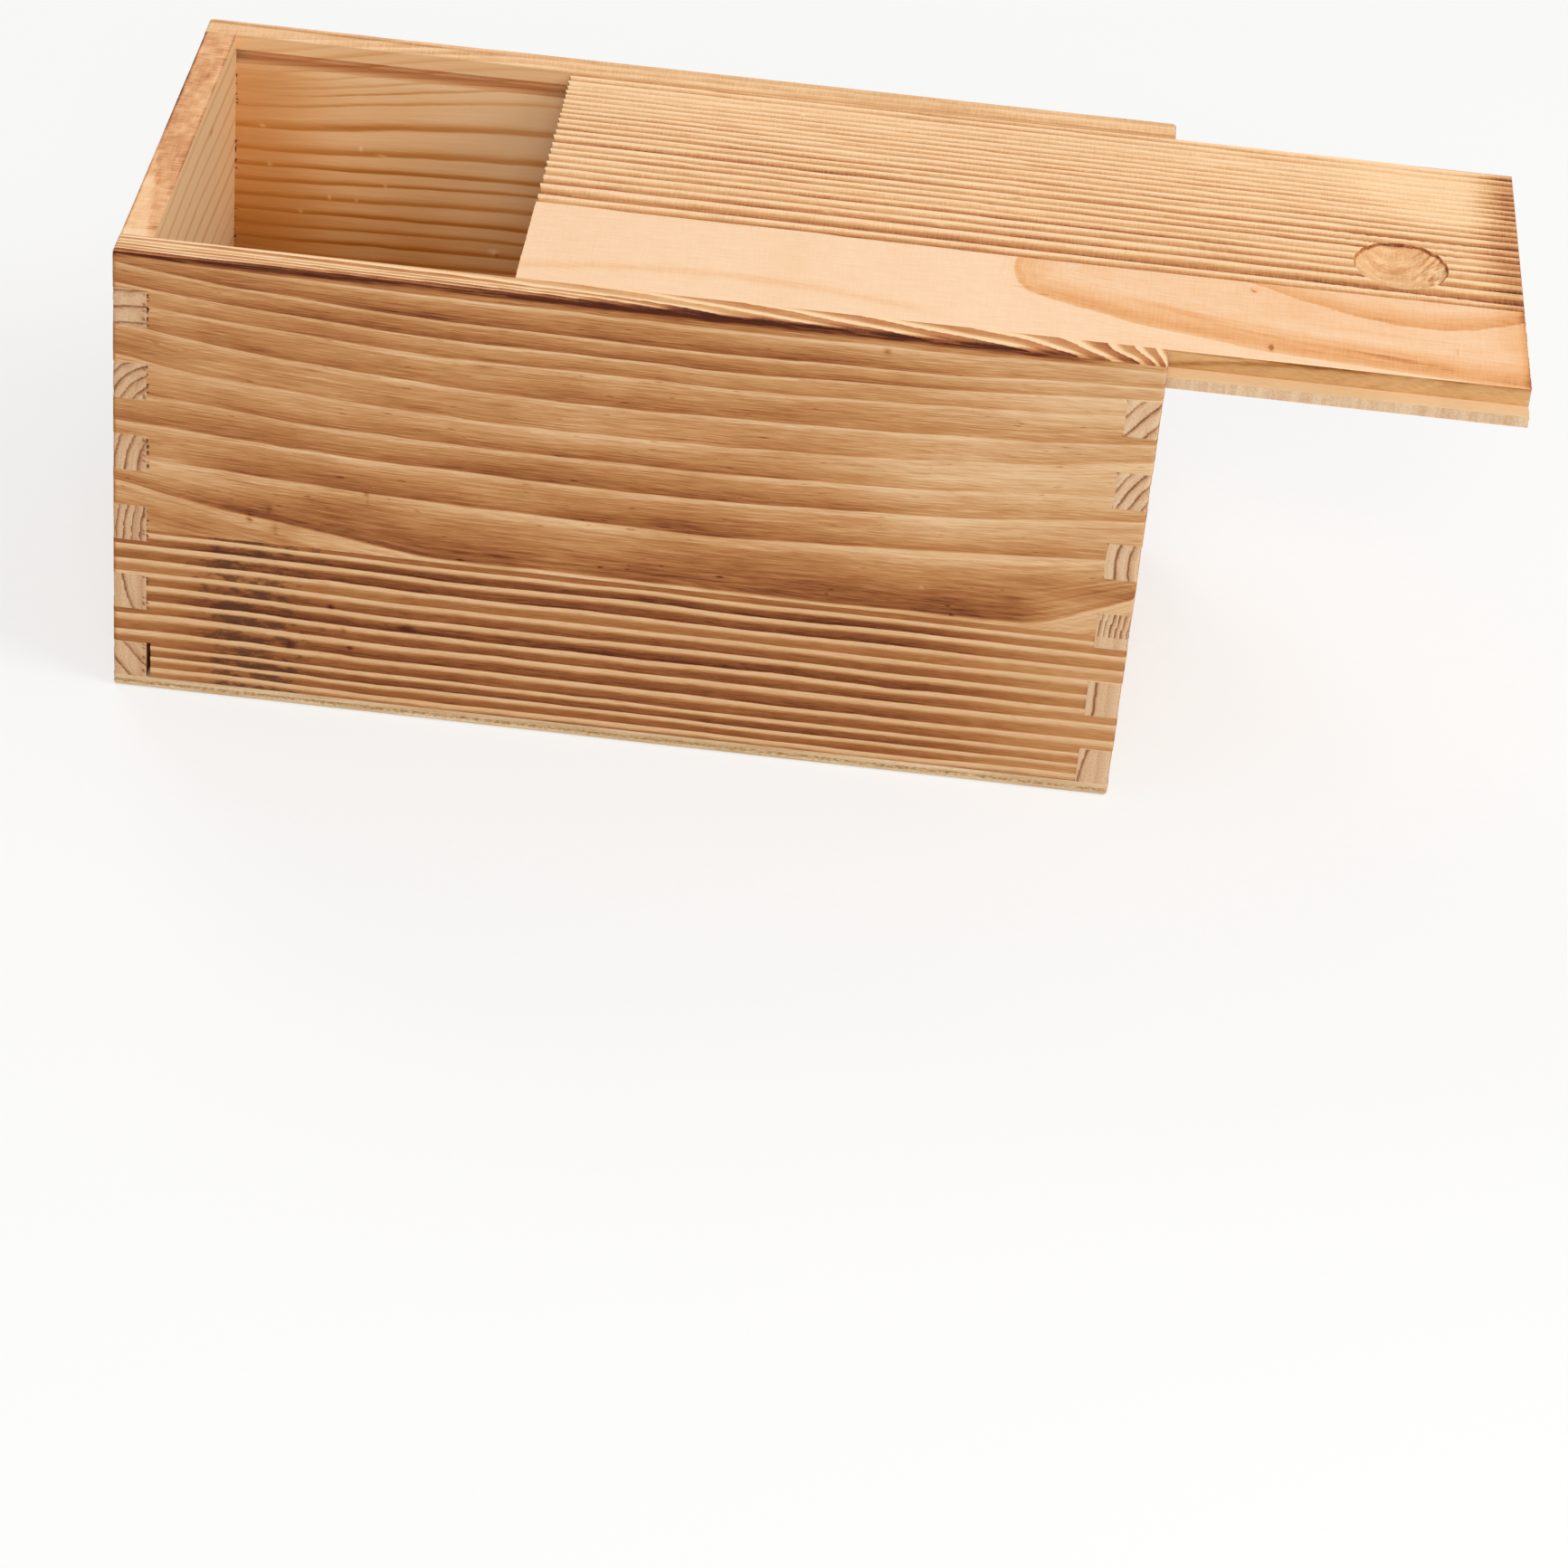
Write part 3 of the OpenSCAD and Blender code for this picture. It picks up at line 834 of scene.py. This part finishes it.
leftEnd = dict(
    name="leftEndWall", node="left_end_wall", body="box", slot="scorched_pine", heart=(-104, 68),
    radii=[20, 25, 30, 34, 37.8, 41.5, 46.2, 52.6, 58.4, 65, 71.7, 78.7, 86, 94, 103, 112],
    # angle, gap, bend and start of the lines on each finger, from the top one down
    fingers=[(4, 5.2, 0, 0.85), (45, 3.2, 0.03, 0.3), (76, 3.6, 0.015, 0.78), (84, 2.4, 0.01, 0.2),
             (104, 14, 0.01, 0.91), (130, 6.15, 0, 0.33)])


def leftTopTone(x, y, z):
    # Toasted reddish brown, charred along the outer edge, with painted shade along the inner
    # edge where the top meets the shaded inside of the box, a pale wedge on the outer half that
    # widens towards the front, and a bare strip at the very front.
    # painted shade along the inner edge
    inner = 0.3 * ease((x - innerLeft + 0.9) / 0.6) * ease((y + 40) / 18)
    outer = 0.5 * ease((boxLow[0] + 1.4 - x) / 1.0) * (1 - 0.5 * bump((y + 10) / 18))
    width = 0.125 * np.clip(-y, 0, None)
    patch = 0.22 * ease((boxLow[0] + width - x) / 0.8)
    bare = 0.25 * ease((-61.5 - y) / 1.5)
    mottle = 0.11 * softNoise(x / 1.8, y / 2.2, 34) + 0.08 * softNoise(x / 5, y / 9, 36)
    return 0.47 + inner + outer - patch - bare + mottle


def leftFingerPale(x, y, z):
    # torn specks along the fingers' inner ends
    return 0.26 + 0.5 * (softNoise(z / 0.6, 0, 11) > 0.2) * bump((x - innerLeft + 0.7) / 0.45)


low, high = corners("left_end_wall")
leftRing = ringsRound(leftEnd["heart"], leftEnd["radii"])
leftFingers = fingerRings((low[0] + high[0]) / 2, leftEnd["fingers"])
leftSkins = endSkins(leftRing, leftFingers, -1, leftFingerPale)
makeBoard(leftEnd, endWallLines(low, high), endWallFilled, leftSkins + [
    dict(material="rawPineAcross", sides=[1], ring=leftRing, pale=-0.1, burnt=0.28,
         spots=[(24.5, 135.5, 1.6, 0.9, 0.6)]),
    # the fingers' inner sides, which show brown through the gaps beside them
    dict(material="scorchedPineAcross", sides=[1], where=lambda x, y, z: abs(y) > boxHigh[1] - wall,
         ring=leftRing, pale=0.55, burnt=0.75),
    dict(material="toastedPineAcross", sides=[3], where=onWallTop, ring=leftRing,
         pale=lambda x, y, z: leftTopTone(x, y, z) - 0.06, burnt=leftTopTone),
], rounded)

rightUpper = dict(
    name="rightEndUpperBoard", node="right_end_upper_board", body="box", slot="scorched_pine",
    heart=(200, 74), paleFinger=0.14,
    radii=[30, 35, 40, 44, 47.5, 50.5, 53, 55.5, 58, 61, 64.5, 68, 72, 76.5, 81, 86, 92, 99, 107],
    fingers=[(50, 4.3, 0, 0.95), (58, 3.25, 0.01, 0.61), (88, 3.9, 0.02, 0.37), (86, 1.7, 0.01, 0.2)])

rightLower = dict(
    name="rightEndLowerBoard", node="right_end_lower_board", body="box", slot="scorched_pine",
    heart=(60, 36), paleFinger=0.2, radii=[48, 60, 70, 81.3, 82.6, 95, 108, 121],
    # the top one of this board's fingers, the fourth of the wall, has no line at all
    fingers=[(90, 60, 0, 0.5)] * 4 + [(90, 14, 0, 0.79), (80, 14, 0.01, 0.71)])

for piece in (rightUpper, rightLower):
    low, high = corners(piece["node"])
    ring = ringsRound(piece["heart"], piece["radii"])
    fingers = fingerRings((low[0] + high[0]) / 2, piece["fingers"])
    skins = endSkins(ring, fingers, 1, piece["paleFinger"])
    makeBoard(piece, endWallLines(low, high), endWallFilled, skins, rounded)


bottom = dict(
    name="bottomPanel", node="bottom_panel", body="box", slot="plywood",
    veneer=1.2,        # thickness of either outer ply
    torn=0.16)         # how far the saw tore back the middle one
plyLow, plyHigh = corners("bottom_panel")


def always(x, y, z):
    # the panel is a plain block, so every cell is filled
    return np.ones(x.shape, bool)


def plyCore(x, y, z):
    # 1 in the middle ply and 0 in the two veneers
    fromFace = (plyHigh[2] - plyLow[2]) / 2 - abs(z - (plyLow[2] + plyHigh[2]) / 2)
    return ease((fromFace - bottom["veneer"]) / 0.5)


def plyShape(points):
    # on all four edges the middle ply is torn back by torn * (1 + noise)
    x, y, z = points.T
    torn = plyCore(x, y, z) * bottom["torn"] * (1 + softNoise(x / 0.9, y / 0.9, 41))
    atEdge = np.abs(np.abs(points) - plyHigh) < touching
    atEdge[:, 2] = False
    return rounded(points - atEdge * np.sign(points) * torn[:, None])


plyZ = [plyLow[2] + bottom["veneer"], plyHigh[2] - bottom["veneer"], plyHigh[2]]
plyZ += list(plyLow[2] + arris[:3])
plyLines = (gridLines([*(plyLow[0] + arris), *(plyHigh[0] - arris)], 1.2),
            gridLines([*(plyLow[1] + arris), *(plyHigh[1] - arris)], 1.8), gridLines(plyZ, 0.5))
makeBoard(bottom, plyLines, always, [
    dict(material="plyFace", sides=[-3, 3]),
    dict(material="plyEdge", sides=[-2, -1, 1, 2], ring=plyCore),
], plyShape)


lid = dict(
    shelf=142.2,       # top of the tongue along both sides
    side=65.7,         # half the width between the lips
    eased=0.5,         # how far in its top edges are eased
    endBurn=15,        # length of the scorched outer end
    # the streak on its side: where it starts to climb, over what length, and from how far down
    sideStreak=(152, 22, 4.4),
    scoopInset=35.5, scoopRadius=14, scoopRim=0.6, scoopDepth=3.4)

lidLow, lidHigh = corners("lid_rear_board")
lidSeam = lidLow[1]
scoopAt = np.array([lidHigh[0] - lid["scoopInset"], 0.0])

lidRear = dict(
    name="lidRearBoard", node="lid_rear_board", body="lid", slot="lid_pine",
    lines=[74, 70.8, 67.5, 64, 60.5, 57.2, 54, 51, 47.8, 44.8, 41.5, 38.5, 35.2, 31.2, 27.5, 24, 19, 15,
           11.2, 6.8, 2.8, -2.2, -7.5, -14.5, -19.2, -25, -31, -36],
    drift=2.6, slant=0.6, relief=0.38,
    spots=[(36, 55, 0.8, 0.6, -0.3), (130, 53, 0.8, 0.6, -0.3), (70, 24, 0.8, 0.6, -0.3),
           (82, -6, 1.5, 0.5, -0.3), (146, 26, 0.8, 0.6, -0.25), (103, 16, 1.5, 0.5, 0.3),
           (43, 47.5, 0.8, 0.5, -0.25), (48, -5.5, 1.5, 0.5, -0.25)])


def lidRearRing(x, y, z):
    # straight lines that drift a little towards the front as they run to the outer end
    y = y + lidRear["drift"] * (x + 30) / 270 + lidRear["slant"] * (z - lidHigh[2])
    y = y + 0.22 * softNoise(x / 38, y / 14, 51) + 0.1 * softNoise(x / 11, y / 5, 52)
    return ringsAlong(-y, -np.array(lidRear["lines"]))


def lidEndBurn(x, y):
    # the scorched outer end, with a ragged border
    start = lidHigh[0] - lid["endBurn"] - 2 * bump((y - 20) / 30) + 1.6 * softNoise(y / 6, 0, 53)
    return ease((x - start) / lid["endBurn"])


def lidRearPale(x, y, z):
    # cream ridges, warmer towards the front, and toasted at the scorched end
    clean = 0.01 + 0.06 * ease((25 - y) / 40)
    return clean + (0.4 - clean) * lidEndBurn(x, y) ** 1.5


def lidRearBurnt(x, y, z):
    # browner in two steps towards the front, faded behind the scoop, round x = 160 and along
    # y = 53, and then blended into the charred end
    front = 0.14 * ease((48 - y) / 16) + 0.14 * ease((8 - y) / 16)
    fade = 0.26 * bump((x - 228) / 26) * ease((y - 22) / 14) + 0.08 * bump((y - 53) / 5)
    fade = fade + 0.08 * bump((x - 160) / 45) * ease((y - 4) / 12)
    clean = 0.5 + front - fade + 0.07 * softNoise(x / 50, y / 12, 54)
    charred = 0.84 + 0.08 * ease((2 - y) / 14)
    return clean + (charred - clean) * lidEndBurn(x, y)


def scoopWarp(points):
    # squares round the scoop's middle become circles, so that a grid line follows its rim
    d = points[:, :2] - scoopAt
    reach = np.abs(d).max(1)
    length = np.maximum(np.linalg.norm(d, axis=1), 1e-9)
    blend = 1 - ease((reach - lid["scoopRadius"]) / 7)
    factor = 1 + blend * (reach / length - 1)
    return np.column_stack([scoopAt + d * factor[:, None], points[:, 2]])


def scoopSplinters(dx, dy):
    # fibres that the cutter lifted, slanting across the bowl
    return softNoise((dx - dy) / 0.9, (dx + dy) / 2, 66)


def scoopDepth(x, y):
    # a steep rim, then a bowl of 1 - (r / radius)^2, torn into slanting ribs on its right side
    dx, dy = x - scoopAt[0], y - scoopAt[1]
    r = np.hypot(dx, dy)
    rim = ease((lid["scoopRadius"] - r) / 0.45) * lid["scoopRim"]
    deepest = lid["scoopDepth"] - lid["scoopRim"]
    bowl = np.clip(1 - (r / (lid["scoopRadius"] - 0.4)) ** 2, 0, 1) * deepest
    right = (0.15 + 0.85 * ease((dx - 0.5) / 6)) * ease((lid["scoopRadius"] - 0.5 - r) / 1.5)
    torn = softNoise((dx - dy) / 1.5, (dx + dy) / 7, 55) + 0.7 * scoopSplinters(dx, dy)
    return rim + bowl - 0.4 * right * torn


def lidRearShape(points):
    # sinks the scoop in the top and frays the inner end, most where the brush left a valley
    x, y, z = points.T
    top = ease((z - lid["shelf"] - 0.1) / (lidHigh[2] - lid["shelf"] - 0.6))
    z = z - top * scoopDepth(x, y)
    inner = np.abs(x - lidLow[0]) < touching
    valley = 1 - ringHeight(lidRearRing(x, y, lidHigh[2]), "soft")
    x = x + inner * (0.1 + 0.55 * valley + 0.2 * softNoise(y / 0.8, z / 2, 56))
    return lidRounded(np.column_stack([x, y, z]))


def lidRounded(points):
    # A point near a long top edge moves in and down by 0.6 * near * down, which are how much
    # closer than eased it lies to the side and to the top.
    top = points[:, 2] > lid["shelf"] + touching
    width = np.where(top, lid["side"], lidHigh[1])
    near = lid["eased"] - np.minimum(width - np.abs(points[:, 1]), lid["eased"])
    down = lid["eased"] - np.minimum(lidHigh[2] - points[:, 2], lid["eased"])
    drop = top * near * down * 0.6
    return points - np.column_stack([np.zeros(len(drop)), np.sign(points[:, 1]) * drop, drop])


def onTongue(x, y, z):
    # the wide lower half of the lid, which runs in the groove
    return z < lid["shelf"]


def lidFilled(x, y, z):
    # the plate between the lips, on the wider tongue
    return (abs(y) < lid["side"]) | onTongue(x, y, z)


def onLid(x, y, z):
    # the lid's face, and not the shelves beside it
    return z > lidHigh[2] - 0.1


def inScoop(x, y, z):
    # that part of the face that lies within the scoop's rim
    return onLid(x, y, z) & (np.hypot(x - scoopAt[0], y - scoopAt[1]) < lid["scoopRadius"])


radius = lid["scoopRadius"]
rimSteps = np.array([0.4, 0, -0.15, -0.3, -0.45, -0.8])
rimLines = np.concatenate([radius + rimSteps, -radius - rimSteps])
bowlLines = np.arange(1.4 - radius, radius - 1.3, 0.45)
lidX = [lidLow[0], lidLow[0] + 0.5, *(lidHigh[0] - arris[:3]), *(scoopAt[0] + rimLines),
        *(scoopAt[0] + bowlLines), scoopAt[0] - radius - 8, scoopAt[0] + radius + 8]
sideLines = [lid["side"], lid["side"] - lid["eased"] / 2, lid["side"] - lid["eased"]]
lidY = [lidSeam, lidHigh[1], *sideLines, *(scoopAt[1] + rimLines)]
lidZ = gridLines([lidLow[2], lid["shelf"], lidHigh[2], lidHigh[2] - 0.3, lidHigh[2] - 0.8], 0.6)


def scoopRing(x, y, z):
    # the round cut runs down through the rings, which show as nested bowls open to the back
    dx, dy = x - scoopAt[0] + 2.5, y - scoopAt[1]
    return 30 - (dy - 0.07 * dx * dx) / 6 + 0.15 * softNoise(dx / 4, dy / 4, 57)


def scoopTone(x, y, z):
    # dark round the rim, most at the rear right, darker in the middle, painted shade on the back
    # of the bowl, and paler on the splinters
    dx, dy = x - scoopAt[0], y - scoopAt[1]
    r = np.hypot(dx, dy)
    rear = 0.75 + 0.25 * ease((dy + 0.7 * dx + 6) / 12)
    rim = 0.45 * ease((r - lid["scoopRadius"] + 0.9) / 0.5) * rear
    # painted shade on the bowl's back slope, plus a darker middle
    shade = 0.12 * ease((dy + 0.3 * dx - 7) / 6) + 0.1 * bump((dx + 2) / 5) * bump((dy - 1) / 6)
    torn = 0.28 * ease((dx - 3) / 6) * scoopSplinters(dx, dy)
    mottle = 0.06 * softNoise((dx - dy) / 1.3, (dx + dy) / 4, 60) - torn
    return np.minimum(0.26 + rim + shade + mottle, 0.74)


def sideTone(x, y, z):
    # the lid's sawn edge: an orange-brown streak climbs from lower left to the top, and the top
    # arris has a painted shadow of the gap where the lid runs between the lips
    start, length, drop = lid["sideStreak"]
    streakAt = lidHigh[2] - drop * np.exp(-np.clip(x - start, 0, None) / length)
    blotchy = 0.8 + 0.4 * softNoise(x / 6, z / 2, 68)
    streak = 0.34 * blotchy * bump((z - streakAt) / 0.7)
    above = 0.14 * ease((z - streakAt) / 0.8)
    below = 0.13 * ease((streakAt - z) / 5)
    sawn = 0.1 * softNoise((x - 2 * z) / 1.6, z / 9, 59) * ease((x - 170) / 40)
    # painted shadow in the gap between the lid and the lip
    gapShadow = 0.5 * blotchy * ease((z - lidHigh[2] + 1) / 0.7) * ease((208 - x) / 16) * ease((x - 30) / 60)
    return 0.48 + streak - above - below + sawn + gapShadow + 0.1 * bump((z - lid["shelf"]) / 0.5)


lidSideSkins = [
    dict(material="rawPine", sides=[-3], ring=lidRearRing, pale=0.06, burnt=0.4),
    dict(material="sawnPine", sides=[3], ring=lidRearRing, pale=0.04, burnt=0.12),
    dict(material="endGrain", sides=[-1, 1], ring=lidRearRing, pale=0.3, burnt=0.75),
    dict(material="sawnPine", sides=[-2, 2], ring=lidRearRing, pale=sideTone, burnt=sideTone),
    dict(material="endGrain", sides=[-2, 2], where=onTongue, ring=0.3, pale=0.14),
]
lidRearLines = (gridLines(lidX + spotKnots(lidRear["spots"]), 2.4), gridLines(lidY, 0.5), lidZ)
makeBoard(lidRear, lidRearLines, lidFilled, lidSideSkins + [
    dict(material="toastedPine", sides=[3], where=onLid, ring=lidRearRing, pale=lidRearPale,
         burnt=lidRearBurnt, depth=sunkFurther(lidRear["relief"], 58), spots=lidRear["spots"]),
    dict(material="toastedPine", sides=[3], where=inScoop, ring=scoopRing, pale=scoopTone,
         burnt=lambda x, y, z: 0.09 + scoopTone(x, y, z)),
], lidRearShape, scoopWarp)

lidFront = dict(
    name="lidFrontBoard", node="lid_front_board", body="lid", slot="lid_pine",
    # the large flame: its left end, and where its lower edge starts, how far it sinks and over
    # what length
    flameStart=104, flameTop=-38, flameDrop=30, flameLength=56,
    # the small one: its lowest point, and how far its left and right side climb over what length
    patchAt=225, patchDepth=-37, patchSides=[(14.5, 48), (9.5, 27)],
    spots=[(179, -58.2, 0.6, 1.6, 0.75), (174.2, -26, 0.8, 0.6, 0.7), (173.4, -25, 0.5, 0.5, 0.5),
           (232.5, -49, 0.3, 2.2, 0.35), (107, -38.5, 2.5, 0.4, 0.35), (113, -41.5, 2, 0.4, 0.3)])


def largeFlame(x):
    # how far x is past the flame's left end, and y of the flame's lower edge there, which sinks
    # by flameDrop * (1 - e^(-run / flameLength))
    run = np.clip(x - lidFront["flameStart"], 0, None)
    sunk = lidFront["flameDrop"] * (1 - np.exp(-run / lidFront["flameLength"]))
    return run, lidFront["flameTop"] - sunk


def lidFrontRing(x, y, z):
    # Two nested flames. The large one starts round at the left and sinks to the front edge; the
    # small one is a bowl that hangs from the seam. Outside them there are no lines.
    y = y + 0.5 * softNoise(x / 16, y / 10, 61) + 0.15 * softNoise(x / 4, y / 3, 62)
    x = x + 1.1 * softNoise(y / 2.2, x / 6, 67)
    run, edge = largeFlame(x)
    inLarge = np.minimum((x - lidFront["flameStart"] - 0.03 * (y + 28) ** 2) * 1.2, y - edge)
    large = np.clip(inLarge / 22, -0.35, 0.97)
    fromPatch = x - lidFront["patchAt"]
    left, right = (climb * (fromPatch / length) ** 2 for climb, length in lidFront["patchSides"])
    inSmall = y - lidFront["patchDepth"] - np.where(fromPatch < 0, left, right)
    return np.where(inSmall > 0, 1 + np.clip(inSmall / 17, 0, 0.97), large) + 10


def lidFrontBurnt(x, y, z):
    # the flames' edges: stronger on the small one, and fading at the outer end
    small = 0.1 * ease((x - 200) / 20) * ease((y + 45) / 12)
    return lidFrontPale(x, y, z) + 0.52 + small - 0.15 * ease((x - 246) / 6)


def lidFrontPale(x, y, z):
    # plain but for a faint arc at the left, and an orange tongue that follows the large flame's
    # lower edge
    arc = 0.2 * bump((y + 51 + 0.0022 * (x - 20) ** 2) / 2.2) * ease((95 - x) / 30)
    end = 0.18 * lidEndBurn(x, y) ** 2 + 0.4 * ease((x - lidHigh[0] + 1.2) / 1.2)
    run, edge = largeFlame(x)
    above = y - edge - 12 + (x - 156) / 15
    streaky = 0.6 + 0.6 * softNoise(x / 30, above / 0.9, 65)
    tongue = 0.3 * streaky * bump(above / 2.8) * ease((x - 130) / 25) * ease((236 - x) / 8)
    inner = 0.16 * ease((y - edge) / 4) * ease(run / 12)
    return 0.11 + arc + end + tongue + inner


def lidFrontShape(points):
    # both sawn ends are uneven by a tenth of a millimetre or two
    x, y, z = points.T
    inner = np.abs(x - lidLow[0]) < touching
    x = x + inner * (0.1 + 0.1 * softNoise(y / 1.2, z / 2, 63))
    outer = np.abs(x - lidHigh[0]) < touching
    x = x - outer * (0.12 + 0.12 * softNoise(y / 1.1, z / 3, 64))
    return lidRounded(np.column_stack([x, y, z]))


low, high = corners("lid_front_board")
flameStartLines = np.arange(100, 116, 0.8)     # closer lines, where the large flame starts
lidFrontX = [lidLow[0], lidLow[0] + 0.5, *(lidHigh[0] - arris[:3]), *flameStartLines]
lidFrontX += spotKnots(lidFront["spots"])
lidFrontY = [low[1], high[1], *(-line for line in sideLines)]
lidFrontLines = (gridLines(lidFrontX, 2), gridLines(lidFrontY, 0.5), lidZ)
makeBoard(lidFront, lidFrontLines, lidFilled, lidSideSkins + [
    dict(material="flamePine", sides=[3], where=onLid, ring=lidFrontRing,
         pale=lidFrontPale, burnt=lidFrontBurnt, spots=lidFront["spots"]),
], lidFrontShape)


stageSet = dict(
    floorSize=12,              # in metres, as are all the places here
    floorHeight=-0.0002,       # just under the box, so that no two faces share a plane
    floorColour="#F7F7F5", floorGlow=0.6, sky=0.52,
    # name, place, size in metres and power in watts
    lamps=[("frontFill", (0.15, -1.9, 1.35), 0.9, 14),
           ("rightKey", (1.6, -0.6, 1.5), 1.2, 18),
           ("backFill", (-1.1, 1.7, 1.4), 1.2, 10)],
    lampAim=(0, 0, 0.08))


def whereSeen(tree, unseen, seen):
    # one value where the camera, a gloss or a glass looks, and another one for the lighting
    rays = addNode(tree, "LightPath")
    looks = rays.outputs["Is Camera Ray"]
    for kind in ("Is Glossy Ray", "Is Transmission Ray"):
        looks = addNode(tree, "Math", {0: looks, 1: rays.outputs[kind]}, operation="MAXIMUM")
    return addNode(tree, "MapRange", {"Value": looks, "To Min": unseen, "To Max": seen})


half, height = stageSet["floorSize"] / 2, stageSet["floorHeight"]
floorMesh = bpy.data.meshes.new("floor")
floorCorners = [(-half, -half), (half, -half), (half, half), (-half, half)]
floorMesh.from_pydata([(x, y, height) for x, y in floorCorners], [], [(0, 1, 2, 3)])
floor = bpy.data.objects.new("floor", floorMesh)
bpy.context.scene.collection.objects.link(floor)

# white paper: it glows a little to the camera, and keeps the box's shadow
paper = bpy.data.materials.new("whitePaper")
paper.use_nodes = True
paperTree = paper.node_tree
paperTree.nodes.clear()
matt = addNode(paperTree, "BsdfDiffuse", {"Color": linear(stageSet["floorColour"])})
glow = addNode(paperTree, "Emission", {"Color": linear("#FFFFFF"), "Strength": 1.0})
share = whereSeen(paperTree, 0.0, stageSet["floorGlow"])
mixed = addNode(paperTree, "MixShader", {0: share, 1: matt, 2: glow})
addNode(paperTree, "OutputMaterial", {"Surface": mixed})
floorMesh.materials.append(paper)

world = bpy.data.worlds.new("studio")
bpy.context.scene.world = world
world.use_nodes = True
sky = world.node_tree
sky.nodes.clear()
strength = whereSeen(sky, stageSet["sky"], 1.0)
background = addNode(sky, "Background", {"Color": linear("#FFFFFF"), "Strength": strength})
addNode(sky, "OutputWorld", {"Surface": background})

for name, place, size, power in stageSet["lamps"]:
    lamp = bpy.data.lights.new(name, "AREA")
    lamp.shape, lamp.size, lamp.energy = "DISK", size, power
    made = bpy.data.objects.new(name, lamp)
    made.location = place
    made.rotation_mode = "QUATERNION"
    towards = Vector(stageSet["lampAim"]) - Vector(place)
    made.rotation_quaternion = towards.to_track_quat("-Z", "Y")
    bpy.context.scene.collection.objects.link(made)

# lens in mm, place in metres and turns in degrees
view = dict(lens=107.798, place=(0.08635, -1.23328, 0.79852), heading=-1.62, down=34.889, roll=5.513)


def cameraTurn(heading, down, roll):
    # columns of the turn: right, up and backwards, with the roll taken about the view line
    a, e, r = (math.radians(v) for v in (heading, down, roll))
    ahead = Vector((math.sin(a) * math.cos(e), math.cos(a) * math.cos(e), -math.sin(e)))
    levelRight = ahead.cross(Vector((0, 0, 1))).normalized()
    levelUp = levelRight.cross(ahead)
    right = math.cos(r) * levelRight + math.sin(r) * levelUp
    up = math.cos(r) * levelUp - math.sin(r) * levelRight
    return Matrix((right, up, -ahead)).transposed()


cameraData = bpy.data.cameras.new("camera")
cameraData.lens, cameraData.sensor_width = view["lens"], 36
cameraData.clip_start, cameraData.clip_end = 0.05, 50
camera = bpy.data.objects.new("camera", cameraData)
turn = cameraTurn(view["heading"], view["down"], view["roll"])
camera.matrix_world = Matrix.Translation(view["place"]) @ turn.to_4x4()
bpy.context.scene.collection.objects.link(camera)
bpy.context.scene.camera = camera
bpy.context.scene.view_settings.view_transform = "Standard"

print("scene ready")
